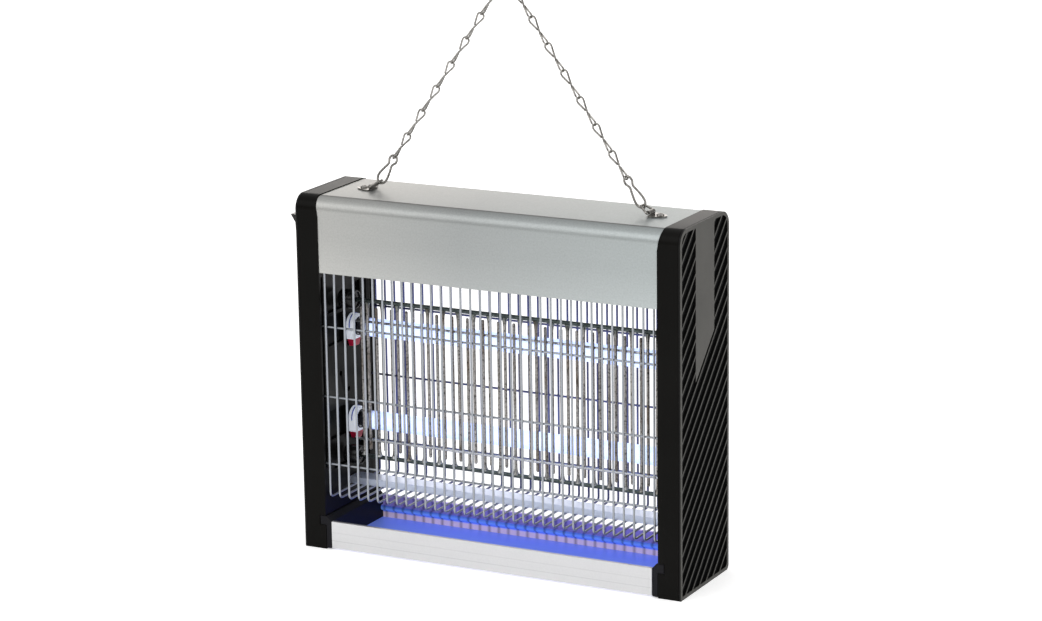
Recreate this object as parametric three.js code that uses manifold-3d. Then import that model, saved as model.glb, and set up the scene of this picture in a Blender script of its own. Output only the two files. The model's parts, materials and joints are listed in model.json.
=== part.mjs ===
// Electric bug zapper with two lamps: a see-through killing chamber between two moulded
// end housings, an aluminium top housing, a pull-out insect tray and hanging chains.
// Millimetres. X runs along the width, the front faces -Y and Z is up. The origin is the
// middle of the resting face's bounding box.
import * as THREE from 'three';
import { mergeVertices } from 'three/addons/utils/BufferGeometryUtils.js';
import Module from 'manifold-3d';

const wasm = await Module();
wasm.setup();

// Driving dimensions.
const WIDTH = 345;                 // across the end housings, without the switch
const DEPTH = 93;
const HEIGHT = 300;                // to the top of the end housings
const GAP = 0.3;                   // between pieces that touch
const END_THICKNESS = 20.2;
const PANEL_THICKNESS = 2.1;       // the part of an outer panel that shows at its edge
const INNER_WALL = 7;
const BEND_FRONT = 12;             // corner radii of the end housings
const BEND_REAR = 13;
const BEND_BASE = 4;
const COVER_SET_BACK = 0.7;        // top housing behind the end housings' faces
const SHEET = 0.8;
const COVER_LOW = 236.2;
const LAP_LOW_Z = 283;             // the cover widens over the end housings from here
const LAP_HIGH_Z = 298;            // to here
const LAP = 2.5;

const FIELD_Z = 141.3;             // middle of the electrodes and of the lamp pair
const LAMP_Y = 3.5;
const LAMP_SPACING = 80;
const LAMP_LENGTH = 288.3;         // between base faces, 8 W miniature tube
const LAMP_RADIUS = 7.75;
const LAMP_CAP_LENGTH = 7.5;
const PIN_LENGTH = 7.1;
const PIN_SPACING = 4.75;

const ROD_PITCH = 14.2;
const ROD = 1.3;
const TIE_RAIL = 1.1;
// Heights are measured from FIELD_Z: the thick rail, then the tie rail and the free tips opposite.
const COMBS = {
  upper: { up: 1, rods: 19, y: -11, rail: 66.4, tie: 52.3, tip: 61.6, tieSide: -1 },
  lower: { up: -1, rods: 20, y: -8.6, rail: 67.9, tie: 47.2, tip: 60.5, tieSide: 1 },
};
const TIE_SOCKET = 4;              // how far a tie rail's right end goes into the end wall
const BOSS_LENGTH = 14.4;

const GUARD_WIRE = 1.8;
const GUARD_PITCH = 9;
const GUARD_WIRES = 34;
const GUARD_FRONT_Y = -43.9;
const GUARD_REAR_Y = 39.5;
const GUARD_LOW_Z = 45.2;
const GUARD_TOP_Z = 248;
const GUARD_BEND = 4;
const CROSS_WIRE_Z = [73.5, 131.2, 190.7];

const TRAY_REAR_Y = 42;
const TRAY_HALF_LENGTH = 147;      // length of the tray's rails
const TRAY_LOW_Z = 1.5;
const TRAY_HIGH_Z = 24.5;
const RUNNER_LOW_Z = 21;
const RUNNER_HIGH_Z = 28.7;
const RUNNER_REACH = 5.5;

const BRACKET_X = 125.5;           // the bail's pivot, from the middle
const BRACKET_PIVOT_Z = 302.2;
const BAIL_LENGTH = 8.6;
const BAIL_LEAN = THREE.MathUtils.degToRad(35.5);
const CHAIN_END = new THREE.Vector3(8, 0, 471);
const CONNECTOR_PITCH = 25.2;
const CHAIN_LINKS = 7;
const LINK_WIRE = 1.6;
const LINK_BREADTH = 6.9;          // sets the loops' width, about 0.8 of this between wires

const SWITCH_Y = -37;
const SWITCH_Z = 277;
const ROCKER_TILT = THREE.MathUtils.degToRad(18);
const ROCKER_PROUD = 7.9;          // its raised end stands this far out of the outer panel

const HALF_WIDTH = WIDTH / 2;
const HALF_DEPTH = DEPTH / 2;
const WALL_X = HALF_WIDTH - END_THICKNESS;
const SHELL_X = HALF_WIDTH - PANEL_THICKNESS;
const QUARTER = Math.PI / 2;
const ROUND = 18;                  // facets of a round piece

// Finishes: colour, roughness, metalness.
const FINISHES = {
  brushedAluminium: [0xc4c5c2, 0.38, 1],
  millAluminium: [0xd6d8da, 0.32, 1],
  blackPlastic: [0x171715, 0.42, 0],
  glossBlack: [0x0b0b0b, 0.25, 0],
  zinc: [0xa9adae, 0.35, 1],
  steelRod: [0x8f8c86, 0.4, 1],
  whitePlastic: [0xeef1f6, 0.35, 0],
  redPlastic: [0xb81428, 0.35, 0],
  lampGlass: [0xdfe6ff, 0.1, 0],
  circuitGreen: [0x1f5a36, 0.5, 0],
  copper: [0xb06a3a, 0.4, 1],
};

function finish(name) {
  const [color, roughness, metalness] = FINISHES[name];
  return new THREE.MeshStandardMaterial({ color, roughness, metalness });
}

function named(name, geometry, finishName) {
  const mesh = new THREE.Mesh(geometry, finish(finishName));
  mesh.name = name;
  return mesh;
}

// ---- Solids ------------------------------------------------------------------------

function solid(geometry) {
  const bare = geometry.clone();
  bare.deleteAttribute('normal');
  bare.deleteAttribute('uv');
  const merged = mergeVertices(bare, 1e-4);
  return new wasm.Manifold(new wasm.Mesh({
    numProp: 3,
    vertProperties: new Float32Array(merged.attributes.position.array),
    triVerts: new Uint32Array(merged.index.array),
  }));
}

function geometryOf(manifold) {
  const mesh = manifold.getMesh();
  const geometry = new THREE.BufferGeometry();
  geometry.setAttribute('position', new THREE.BufferAttribute(mesh.vertProperties, 3));
  geometry.setIndex(new THREE.BufferAttribute(mesh.triVerts, 1));
  geometry.computeVertexNormals();
  return geometry;
}

const joined = (solids) => solids.reduce((sum, next) => sum.add(next));
const without = (body, cuts) => cuts.reduce((rest, cut) => rest.subtract(cut), body);

function block(x0, x1, y0, y1, z0, z1) {
  const geometry = new THREE.BoxGeometry(x1 - x0, y1 - y0, z1 - z0);
  return solid(geometry.translate((x0 + x1) / 2, (y0 + y1) / 2, (z0 + z1) / 2));
}

// A block given by its distances from the middle plane, on the side +1 (right) or -1.
function sideBlock(side, x0, x1, ...rest) {
  return block(Math.min(side * x0, side * x1), Math.max(side * x0, side * x1), ...rest);
}

// An outline drawn in (y, z) and carried along X.
function alongX(shape, x0, x1, curveSegments = 5) {
  const geometry = new THREE.ExtrudeGeometry(shape, {
    depth: x1 - x0, bevelEnabled: false, curveSegments,
  });
  const turn = new THREE.Matrix4().makeBasis(
    new THREE.Vector3(0, 1, 0), new THREE.Vector3(0, 0, 1), new THREE.Vector3(1, 0, 0));
  return geometry.applyMatrix4(turn.setPosition(x0, 0, 0));
}

function sideAlongX(side, shape, x0, x1, curveSegments) {
  return solid(alongX(shape, Math.min(side * x0, side * x1), Math.max(side * x0, side * x1),
    curveSegments));
}

// An outline drawn in (x, z) and carried along Y.
function alongY(shape, y0, y1, curveSegments = 8) {
  const geometry = new THREE.ExtrudeGeometry(shape, {
    depth: y1 - y0, bevelEnabled: false, curveSegments,
  });
  const turn = new THREE.Matrix4().makeBasis(
    new THREE.Vector3(1, 0, 0), new THREE.Vector3(0, 0, 1), new THREE.Vector3(0, -1, 0));
  return geometry.applyMatrix4(turn.setPosition(0, y1, 0));
}

function cylinderX(radius, x0, x1, y, z, facets = ROUND) {
  const geometry = new THREE.CylinderGeometry(radius, radius, Math.abs(x1 - x0), facets);
  return solid(geometry.rotateZ(QUARTER).translate((x0 + x1) / 2, y, z));
}

function polygon(points) {
  return new THREE.Shape(points.map(([u, v]) => new THREE.Vector2(u, v)));
}

// A line through given points that is sampled exactly at those points.
class WirePath extends THREE.Curve {
  constructor(points) {
    super();
    this.points = points;
  }

  getPoint(t, target = new THREE.Vector3()) {
    const last = this.points.length - 1;
    const place = Math.min(Math.max(t, 0), 1) * last;
    const index = Math.min(Math.floor(place), last - 1);
    return target.lerpVectors(this.points[index], this.points[index + 1], place - index);
  }

  getUtoTmapping(u) {
    return u;
  }
}

function ringShape(radius, facets, turn = 0) {
  const points = Array.from({ length: facets }, (_, index) => {
    const angle = turn + (index / facets) * 2 * Math.PI;
    return [radius * Math.cos(angle), radius * Math.sin(angle)];
  });
  return polygon(points);
}

function wire(points, radius, facets = 6) {
  const geometry = new THREE.ExtrudeGeometry(ringShape(radius, facets, Math.PI / facets), {
    steps: points.length - 1, extrudePath: new WirePath(points), bevelEnabled: false,
  });
  return solid(geometry);
}

// ---- End housings --------------------------------------------------------------------

// The housings' side view: rounded top corners, a small radius at the rear of the base.
function endOutline(inset = 0) {
  const front = -HALF_DEPTH + inset;
  const back = HALF_DEPTH - inset;
  const low = inset;
  const high = HEIGHT - inset;
  const frontRadius = BEND_FRONT - inset;
  const rearRadius = BEND_REAR - inset;
  const baseRadius = BEND_BASE - Math.min(inset, BEND_BASE - 1);
  const shape = new THREE.Shape();
  shape.moveTo(front, low);
  shape.lineTo(back - baseRadius, low);
  shape.absarc(back - baseRadius, low + baseRadius, baseRadius, -QUARTER, 0);
  shape.lineTo(back, high - rearRadius);
  shape.absarc(back - rearRadius, high - rearRadius, rearRadius, 0, QUARTER);
  shape.lineTo(front + frontRadius, high);
  shape.absarc(front + frontRadius, high - frontRadius, frontRadius, QUARTER, 2 * QUARTER);
  return shape;
}

const PANEL_PLUG = 2.4;            // depth of an outer panel's plug inside the housing
const HOUSING_RIM = 2.6;
const POCKET_DEPTH = 3;
const WALL_POCKETS = [             // [y0, y1, z0, z1] of the recesses in the inner walls
  [-33, 20, 199, 217],
  [-34, -9, 171, 196],
  [-34, -9, 91, 116],
  [-30, 20, 65, 83],
];

function endHousing(side) {
  const hollow = sideAlongX(side, endOutline(HOUSING_RIM), WALL_X + INNER_WALL, SHELL_X + 1);
  const shoulder = solid(alongY(polygon([
    [WALL_X - 1, LAP_LOW_Z], [WALL_X, LAP_LOW_Z], [WALL_X + LAP, LAP_HIGH_Z],
    [WALL_X + LAP, HEIGHT + 1], [WALL_X - 1, HEIGHT + 1],
  ].map(([x, z]) => [side * x, z])), -HALF_DEPTH - 1, HALF_DEPTH + 1));
  const pockets = WALL_POCKETS.map(([y0, y1, z0, z1]) => (
    sideBlock(side, WALL_X - 1, WALL_X + POCKET_DEPTH, y0, y1, z0, z1)));
  const wireSlots = [GUARD_FRONT_Y + 1.6, GUARD_REAR_Y - 1.6].map((y) => (
    sideBlock(side, WALL_X - 1, WALL_X + 3, y - 1.4, y + 1.4, CROSS_WIRE_Z[0] - 4, 232)));
  const rearFlute = sideBlock(side, WALL_X - 1, WALL_X + 2, 27, 30, 60, 225);
  const holes = [[-15, 144], [-3, 128]].map(([y, z]) => (
    cylinderX(2.4, side * (WALL_X - 1), side * (WALL_X + 4), y, z, 12)));
  const runnerGroove = sideBlock(side, WALL_X - 1, WALL_X + RUNNER_REACH + GAP,
    -HALF_DEPTH - 1, TRAY_REAR_Y + 0.5, RUNNER_LOW_Z - GAP, RUNNER_HIGH_Z + GAP);
  const cuts = [hollow, shoulder, ...pockets, ...wireSlots, rearFlute, ...holes, runnerGroove];
  if (side > 0) {
    cuts.push(...Object.values(COMBS).map((comb) => cylinderX(TIE_RAIL + GAP, WALL_X - 1,
      WALL_X + TIE_SOCKET, tieY(comb), FIELD_Z - comb.up * comb.tie, 12)));
  } else {
    cuts.push(cylinderX(4.3, -SHELL_X, -(WALL_X - 1), SWITCH_Y, SWITCH_Z - 20, 12));
  }
  return geometryOf(without(sideAlongX(side, endOutline(), WALL_X, SHELL_X), cuts));
}

const STRIP_HALF = 17.5;           // the smooth strip on the outer panel
const STRIP_MIDDLE_Z = 190.5;
const RIB_PITCH_Z = 13.2;
const RIB_WIDTH_Z = 1.9;           // a rib's height measured straight up
const RECESS_DEPTH = 2.2;
const PANEL_RIM = 3;
const SWITCH_PAD = [-HALF_DEPTH, SWITCH_Y + 10, SWITCH_Z - 13, SWITCH_Z + 13];

// A band rising at 45 degrees to the rear, from the front to the rear of the panel.
function slantBand(side, lowZ, height, x0, x1) {
  const band = polygon([
    [-HALF_DEPTH, lowZ], [HALF_DEPTH, lowZ + DEPTH],
    [HALF_DEPTH, lowZ + DEPTH + height], [-HALF_DEPTH, lowZ + height],
  ]);
  return sideAlongX(side, band, x0, x1);
}

function outerPanel(side) {
  const recessFrom = HALF_WIDTH - RECESS_DEPTH;
  const plate = sideAlongX(side, endOutline(), SHELL_X + GAP, HALF_WIDTH);
  const plug = sideAlongX(side, endOutline(HOUSING_RIM + GAP), SHELL_X - PANEL_PLUG,
    SHELL_X + 1);
  const strip = sideAlongX(side, polygon([
    [-STRIP_HALF, STRIP_MIDDLE_Z - STRIP_HALF], [STRIP_HALF, STRIP_MIDDLE_Z + STRIP_HALF],
    [STRIP_HALF, HEIGHT], [-STRIP_HALF, HEIGHT],
  ]), recessFrom - 1, HALF_WIDTH + 1);
  let recess = sideAlongX(side, endOutline(PANEL_RIM), recessFrom, HALF_WIDTH + 1);
  recess = recess.subtract(strip);
  const bands = Math.ceil((HEIGHT + DEPTH) / RIB_PITCH_Z);
  for (let index = 0; index < bands; index += 1) {
    const low = -DEPTH + (index + 0.5) * RIB_PITCH_Z;
    recess = recess.subtract(slantBand(side, low, RIB_WIDTH_Z, recessFrom - 1, HALF_WIDTH + 2));
  }
  if (side > 0) {
    return geometryOf(plate.add(plug).subtract(recess));
  }
  const [y0, y1, z0, z1] = SWITCH_PAD;
  recess = recess.subtract(sideBlock(side, recessFrom - 1, HALF_WIDTH + 2, y0, y1, z0, z1));
  recess = recess.subtract(cylinderX(GLAND_RADIUS + 2, -recessFrom + 1, -HALF_WIDTH - 2,
    GLAND_Y, GLAND_Z));
  const openings = [
    block(-HALF_WIDTH - 1, -SHELL_X + PANEL_PLUG + 1, SWITCH_Y - BEZEL_BODY_Y,
      SWITCH_Y + BEZEL_BODY_Y, SWITCH_Z - BEZEL_BODY_Z, SWITCH_Z + BEZEL_BODY_Z),
    cylinderX(GLAND_NECK + GAP, -HALF_WIDTH - 1, -SHELL_X + PANEL_PLUG + 1, GLAND_Y, GLAND_Z),
  ];
  return geometryOf(without(plate.add(plug).subtract(recess), openings));
}

// ---- Switch and cord gland -------------------------------------------------------------

const BEZEL_BODY_Y = 5.6;          // half sizes of the hole that the switch sits in
const BEZEL_BODY_Z = 8.8;
const BEZEL_PROUD = 1.2;
const ROCKER_HALF_WIDTH = 4.6;
const ROCKER_HALF_LENGTH = 7.6;
const GLAND_RADIUS = 7;
const GLAND_NECK = 5;
const GLAND_Y = 24;
const GLAND_Z = 262;

function switchBezel() {
  const flange = block(-HALF_WIDTH - BEZEL_PROUD, -HALF_WIDTH - GAP, SWITCH_Y - 7.5,
    SWITCH_Y + 7.5, SWITCH_Z - 10.5, SWITCH_Z + 10.5);
  const body = block(-HALF_WIDTH - 1, -WALL_X - INNER_WALL - 1, SWITCH_Y - BEZEL_BODY_Y + GAP,
    SWITCH_Y + BEZEL_BODY_Y - GAP, SWITCH_Z - BEZEL_BODY_Z + GAP, SWITCH_Z + BEZEL_BODY_Z - GAP);
  const halfWidth = ROCKER_HALF_WIDTH + GAP;
  const halfLength = ROCKER_HALF_LENGTH + GAP;
  const well = block(-HALF_WIDTH - 2, -HALF_WIDTH + 6.5, SWITCH_Y - halfWidth,
    SWITCH_Y + halfWidth, SWITCH_Z - halfLength, SWITCH_Z + halfLength);
  return geometryOf(flange.add(body).subtract(well));
}

// The rocker's side view: two shallow slopes that meet over the pivot, and a round belly.
function rocker() {
  const face = -5.8;
  const bellyRadius = 5.6;
  const side = new THREE.Shape();
  side.moveTo(-0.4, bellyRadius);
  side.lineTo(face, ROCKER_HALF_LENGTH);
  side.lineTo(face + 2, 0);
  side.lineTo(face, -ROCKER_HALF_LENGTH);
  side.lineTo(-0.4, -bellyRadius);
  side.absarc(-0.4, 0, bellyRadius, -QUARTER, QUARTER);
  return alongY(side, -ROCKER_HALF_WIDTH, ROCKER_HALF_WIDTH, 8);
}

function cordGland() {
  const flange = cylinderX(GLAND_RADIUS, -HALF_WIDTH - 4.5, -HALF_WIDTH - GAP, GLAND_Y, GLAND_Z);
  const neck = cylinderX(GLAND_NECK, -HALF_WIDTH - 1, -WALL_X - INNER_WALL - 3,
    GLAND_Y, GLAND_Z);
  const bore = cylinderX(3.4, -HALF_WIDTH - 6, -WALL_X - INNER_WALL, GLAND_Y, GLAND_Z, 12);
  return geometryOf(flange.add(neck).subtract(bore));
}

// ---- Top housing -----------------------------------------------------------------------

// A sheet bent over the top: front apron, top and rear apron.
function topCover() {
  const outer = (offset) => {
    const front = -HALF_DEPTH + COVER_SET_BACK + offset;
    const back = -front;
    const high = HEIGHT - COVER_SET_BACK - offset;
    const frontRadius = BEND_FRONT - COVER_SET_BACK - offset;
    const rearRadius = BEND_REAR - COVER_SET_BACK - offset;
    return { front, back, high, frontRadius, rearRadius };
  };
  const skin = outer(0);
  const inside = outer(SHEET);
  const shape = new THREE.Shape();
  shape.moveTo(skin.back, COVER_LOW);
  shape.lineTo(skin.back, skin.high - skin.rearRadius);
  shape.absarc(skin.back - skin.rearRadius, skin.high - skin.rearRadius, skin.rearRadius,
    0, QUARTER);
  shape.lineTo(skin.front + skin.frontRadius, skin.high);
  shape.absarc(skin.front + skin.frontRadius, skin.high - skin.frontRadius, skin.frontRadius,
    QUARTER, 2 * QUARTER);
  shape.lineTo(skin.front, COVER_LOW);
  shape.lineTo(inside.front, COVER_LOW);
  shape.lineTo(inside.front, inside.high - inside.frontRadius);
  shape.absarc(inside.front + inside.frontRadius, inside.high - inside.frontRadius,
    inside.frontRadius, 2 * QUARTER, QUARTER, true);
  shape.lineTo(inside.back - inside.rearRadius, inside.high);
  shape.absarc(inside.back - inside.rearRadius, inside.high - inside.rearRadius,
    inside.rearRadius, QUARTER, 0, true);
  shape.lineTo(inside.back, COVER_LOW);
  const apron = WALL_X - GAP;
  const lap = apron + LAP;
  const sheet = solid(alongX(shape, -lap, lap, 6));
  const ends = [-1, 1].map((side) => solid(alongY(polygon([
    [apron, COVER_LOW - 1], [apron, LAP_LOW_Z], [lap, LAP_HIGH_Z], [lap + 1, LAP_HIGH_Z],
    [lap + 1, COVER_LOW - 1],
  ].map(([x, z]) => [side * x, z])), -HALF_DEPTH, HALF_DEPTH)));
  return geometryOf(without(sheet, ends));
}

const CHASSIS_Z = 238.4;
const CHASSIS_FRONT_Y = GUARD_FRONT_Y + 1.3;
const CHASSIS_REAR_Y = HALF_DEPTH - COVER_SET_BACK - SHEET - GAP;

// The plate that closes the top housing from below and carries the electrical parts.
function chassisPlate() {
  const flange = 8;
  const thickness = 1;
  const profile = polygon([
    [CHASSIS_FRONT_Y, CHASSIS_Z], [CHASSIS_REAR_Y, CHASSIS_Z],
    [CHASSIS_REAR_Y, CHASSIS_Z + flange], [CHASSIS_REAR_Y - thickness, CHASSIS_Z + flange],
    [CHASSIS_REAR_Y - thickness, CHASSIS_Z + thickness],
    [CHASSIS_FRONT_Y + thickness, CHASSIS_Z + thickness],
    [CHASSIS_FRONT_Y + thickness, CHASSIS_Z + flange], [CHASSIS_FRONT_Y, CHASSIS_Z + flange],
  ]);
  const half = WALL_X - GAP;
  const slot = block(-half + 2, half - 2, GUARD_REAR_Y - 1.3, GUARD_REAR_Y + 1.3,
    CHASSIS_Z - 1, CHASSIS_Z + 2);
  return geometryOf(solid(alongX(profile, -half, half)).subtract(slot));
}

// ---- Guard, crossbar and electrodes ------------------------------------------------------

// Each guard wire runs down the front, under the chamber and up the rear.
function guardWirePoints(x) {
  const points = [new THREE.Vector3(x, GUARD_FRONT_Y, GUARD_TOP_Z)];
  const corners = [
    [GUARD_FRONT_Y + GUARD_BEND, 2 * QUARTER],
    [GUARD_REAR_Y - GUARD_BEND, 3 * QUARTER],
  ];
  for (const [middle, start] of corners) {
    for (const angle of [start, start + QUARTER]) {
      points.push(new THREE.Vector3(x, middle + GUARD_BEND * Math.cos(angle),
        GUARD_LOW_Z + GUARD_BEND + GUARD_BEND * Math.sin(angle)));
    }
  }
  points.push(new THREE.Vector3(x, GUARD_REAR_Y, GUARD_TOP_Z));
  return points;
}

function guardGrille() {
  const reach = WALL_X + 2.4;
  const weld = GUARD_WIRE - 0.3;
  const half = (GUARD_WIRE / 2) * 0.9;
  const wires = [];
  for (let index = 0; index < GUARD_WIRES; index += 1) {
    const x = (index - (GUARD_WIRES - 1) / 2) * GUARD_PITCH;
    wires.push(wire(guardWirePoints(x), GUARD_WIRE * 0.62, 4));
  }
  for (const z of CROSS_WIRE_Z) {
    for (const y of [GUARD_FRONT_Y + weld, GUARD_REAR_Y - weld]) {
      wires.push(block(-reach, reach, y - half, y + half, z - half, z + half));
    }
  }
  return geometryOf(joined(wires));
}

// A shallow channel across the chamber, lying on the guard's floor wires.
function lowerCrossbar() {
  const y0 = -6;
  const y1 = 10;
  const z0 = GUARD_LOW_Z + GUARD_WIRE / 2 + GAP;
  const z1 = 52.3;
  const profile = polygon([
    [y0, z0], [y0 + 1, z0], [y0 + 1, z1 - 1], [y1 - 1, z1 - 1], [y1 - 1, z0], [y1, z0],
    [y1, z1], [y0, z1],
  ]);
  return alongX(profile, -WALL_X + GAP, WALL_X - GAP);
}

const THICK_RAIL = 1.8;
const TIE_LEFT_X = -142;
const WELD_DEPTH = 0.6;
const BOSS_FACE_X = WALL_X - BOSS_LENGTH;
const SOCKET_DEPTH = 8;

function rod(x, y, z0, z1, radius) {
  const geometry = new THREE.CylinderGeometry(radius, radius, z1 - z0, 5);
  return solid(geometry.rotateX(QUARTER).translate(x, y, (z0 + z1) / 2));
}

function rodPlaces(count) {
  return Array.from({ length: count }, (_, index) => (index - (count - 1) / 2) * ROD_PITCH);
}

function tieY({ y, tieSide }) {
  return y + tieSide * (TIE_RAIL + ROD - WELD_DEPTH);
}

// A comb of rods on its thick rail. The two combs are on opposite poles and their rods alternate.
function electrode(comb) {
  const { up, y } = comb;
  const railZ = FIELD_Z + up * comb.rail;
  const tipZ = FIELD_Z - up * comb.tip;
  const reach = BOSS_FACE_X + SOCKET_DEPTH - GAP;
  const rail = cylinderX(THICK_RAIL, -reach, reach, y, railZ, 6);
  const tie = cylinderX(TIE_RAIL, TIE_LEFT_X, WALL_X + TIE_SOCKET - GAP, tieY(comb),
    FIELD_Z - up * comb.tie, 6);
  const rods = rodPlaces(comb.rods).map((x) => (
    rod(x, y, Math.min(railZ, tipZ), Math.max(railZ, tipZ), ROD)));
  return geometryOf(joined([rail, tie, ...rods]));
}

// A round insulator around its own X axis: the back is at 0 and the rim at its length.
function insulator(radius, length, bore, depth) {
  const body = cylinderX(radius, 0, length, 0, 0);
  const dish = cylinderX(radius - 1.4, length - 1.2, length + 1, 0, 0);
  const hub = cylinderX(bore + 1.2, length - 2, length - 0.4, 0, 0, 12);
  const socket = cylinderX(bore, length - depth, length + 1, 0, 0, 12);
  return geometryOf(body.subtract(dish).add(hub).subtract(socket));
}

// ---- Lamps ---------------------------------------------------------------------------------

const HOLDER_RADIUS = 9;
const HOLDER_BELOW = 10.3;
const HOLDER_FACE_X = LAMP_LENGTH / 2 + GAP;
const ROTOR_RADIUS = 6.5;
const ROTOR_LENGTH = 3;

// The holder's face: square below and domed above the lamp's axis.
function lampHolder(side) {
  const face = new THREE.Shape();
  face.moveTo(-HOLDER_RADIUS, -HOLDER_BELOW);
  face.lineTo(HOLDER_RADIUS, -HOLDER_BELOW);
  face.lineTo(HOLDER_RADIUS, 1.5);
  face.absarc(0, 1.5, HOLDER_RADIUS, 0, 2 * QUARTER);
  const back = WALL_X - GAP;
  const body = sideAlongX(side, face, HOLDER_FACE_X, back, 7);
  const cuts = [
    cylinderX(ROTOR_RADIUS + GAP, side * (HOLDER_FACE_X - 1),
      side * (HOLDER_FACE_X + ROTOR_LENGTH + GAP), 0, 0),
    cylinderX(4.2, side * (HOLDER_FACE_X + 1), side * (back + 1), 0, 0, 12),
  ];
  return geometryOf(without(body, cuts));
}

// The sprung clip below a holder, tapering down to a blunt tip.
function lampClip(side) {
  const face = polygon([[-7.5, -HOLDER_BELOW - GAP], [-4.5, -17], [3.5, -17],
    [7, -HOLDER_BELOW - GAP]]);
  return geometryOf(sideAlongX(side, face, HOLDER_FACE_X + 2, WALL_X - GAP));
}

function lampRotor() {
  const disc = cylinderX(ROTOR_RADIUS, 0, ROTOR_LENGTH, 0, 0);
  const holes = [-1, 1].map((end) => cylinderX(1.45, -1, ROTOR_LENGTH + 1, 0,
    end * PIN_SPACING / 2, 10));
  return geometryOf(without(disc, holes));
}

// A lamp's metal cap with its two pins, pointing along +X from its glass side.
function lampCap() {
  const cap = cylinderX(LAMP_RADIUS + 0.3, 0, LAMP_CAP_LENGTH, 0, 0);
  const pins = [-1, 1].map((end) => cylinderX(1.18, LAMP_CAP_LENGTH - 1,
    LAMP_CAP_LENGTH + PIN_LENGTH, 0, end * PIN_SPACING / 2, 10));
  return geometryOf(joined([cap, ...pins]));
}

function lampGlass() {
  const half = LAMP_LENGTH / 2 - LAMP_CAP_LENGTH - GAP;
  const bore = LAMP_RADIUS - 0.8;
  const profile = [[bore, -half], [LAMP_RADIUS, -half], [LAMP_RADIUS, half], [bore, half],
    [bore, -half]].map(([r, y]) => new THREE.Vector2(r, y));
  return new THREE.LatheGeometry(profile, ROUND).rotateZ(QUARTER);
}

function lamp(level, z) {
  const group = new THREE.Group();
  group.position.set(0, LAMP_Y, z);
  group.add(named(`${level}_tube_glass`, lampGlass(), 'lampGlass'));
  for (const [label, turn] of [['right', 0], ['left', Math.PI]]) {
    const end = new THREE.Group();
    end.rotation.z = turn;
    const cap = named(`${level}_tube_cap_${label}`, lampCap(), 'millAluminium');
    cap.position.x = LAMP_LENGTH / 2 - LAMP_CAP_LENGTH;
    const rotor = named(`${level}_rotor_${label}`, lampRotor(), 'glossBlack');
    rotor.position.x = HOLDER_FACE_X;
    end.add(cap, rotor);
    group.add(end);
  }
  return group;
}

// ---- Tray ------------------------------------------------------------------------------------

// An extruded rail, drawn with its outer face at 0 and its inside towards +y. A screw
// channel runs along the inside at mid height, and a lip at the bottom carries the floor.
function trayRail(facing) {
  const wall = 1.8;
  const bead = 2.5;
  const beadZ = 13.4;
  const floorZ = 3.2;
  const profile = new THREE.Shape();
  profile.moveTo(0, TRAY_LOW_Z);
  profile.lineTo(6, TRAY_LOW_Z);
  profile.lineTo(6, floorZ);
  profile.lineTo(wall, floorZ);
  profile.lineTo(wall, beadZ - 2);
  profile.absarc(wall + 1.5, beadZ, bead, -2.214, 2.214);
  profile.lineTo(wall, TRAY_HIGH_Z - 1.2);
  profile.lineTo(wall + 1.2, TRAY_HIGH_Z - 1.2);
  profile.lineTo(wall + 1.2, TRAY_HIGH_Z);
  profile.lineTo(0, TRAY_HIGH_Z);
  const geometry = alongX(profile, -TRAY_HALF_LENGTH, TRAY_HALF_LENGTH, 8);
  return facing > 0 ? geometry : geometry.rotateZ(Math.PI);
}

// An end piece: it closes the tray and carries the runner that slides in the housing.
function trayEnd(side) {
  const inner = TRAY_HALF_LENGTH + GAP;
  const outer = WALL_X - GAP;
  const runner = WALL_X + RUNNER_REACH - 0.2;
  const profile = polygon([
    [inner, 1], [outer, 0.7], [outer, RUNNER_LOW_Z], [runner, RUNNER_LOW_Z],
    [runner, RUNNER_HIGH_Z], [outer - 1, RUNNER_HIGH_Z], [inner, TRAY_HIGH_Z],
  ].map(([x, z]) => [side * x, z]));
  return alongY(profile, -HALF_DEPTH, TRAY_REAR_Y);
}

function tray() {
  const group = new THREE.Group();
  const front = named('tray_front_rail', trayRail(1), 'millAluminium');
  front.position.y = -HALF_DEPTH;
  const rear = named('tray_rear_rail', trayRail(-1), 'millAluminium');
  rear.position.y = TRAY_REAR_Y;
  const edge = 2.2;
  const floor = new THREE.BoxGeometry(2 * TRAY_HALF_LENGTH,
    TRAY_REAR_Y + HALF_DEPTH - 2 * edge, 0.9);
  const sheet = named('tray_floor', floor, 'brushedAluminium');
  sheet.position.set(0, (TRAY_REAR_Y - HALF_DEPTH) / 2, 4);
  group.add(front, rear, sheet);
  group.add(named('tray_end_left', trayEnd(-1), 'blackPlastic'));
  group.add(named('tray_end_right', trayEnd(1), 'blackPlastic'));
  return group;
}

// ---- Electrical parts in the top housing -----------------------------------------------------

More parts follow.
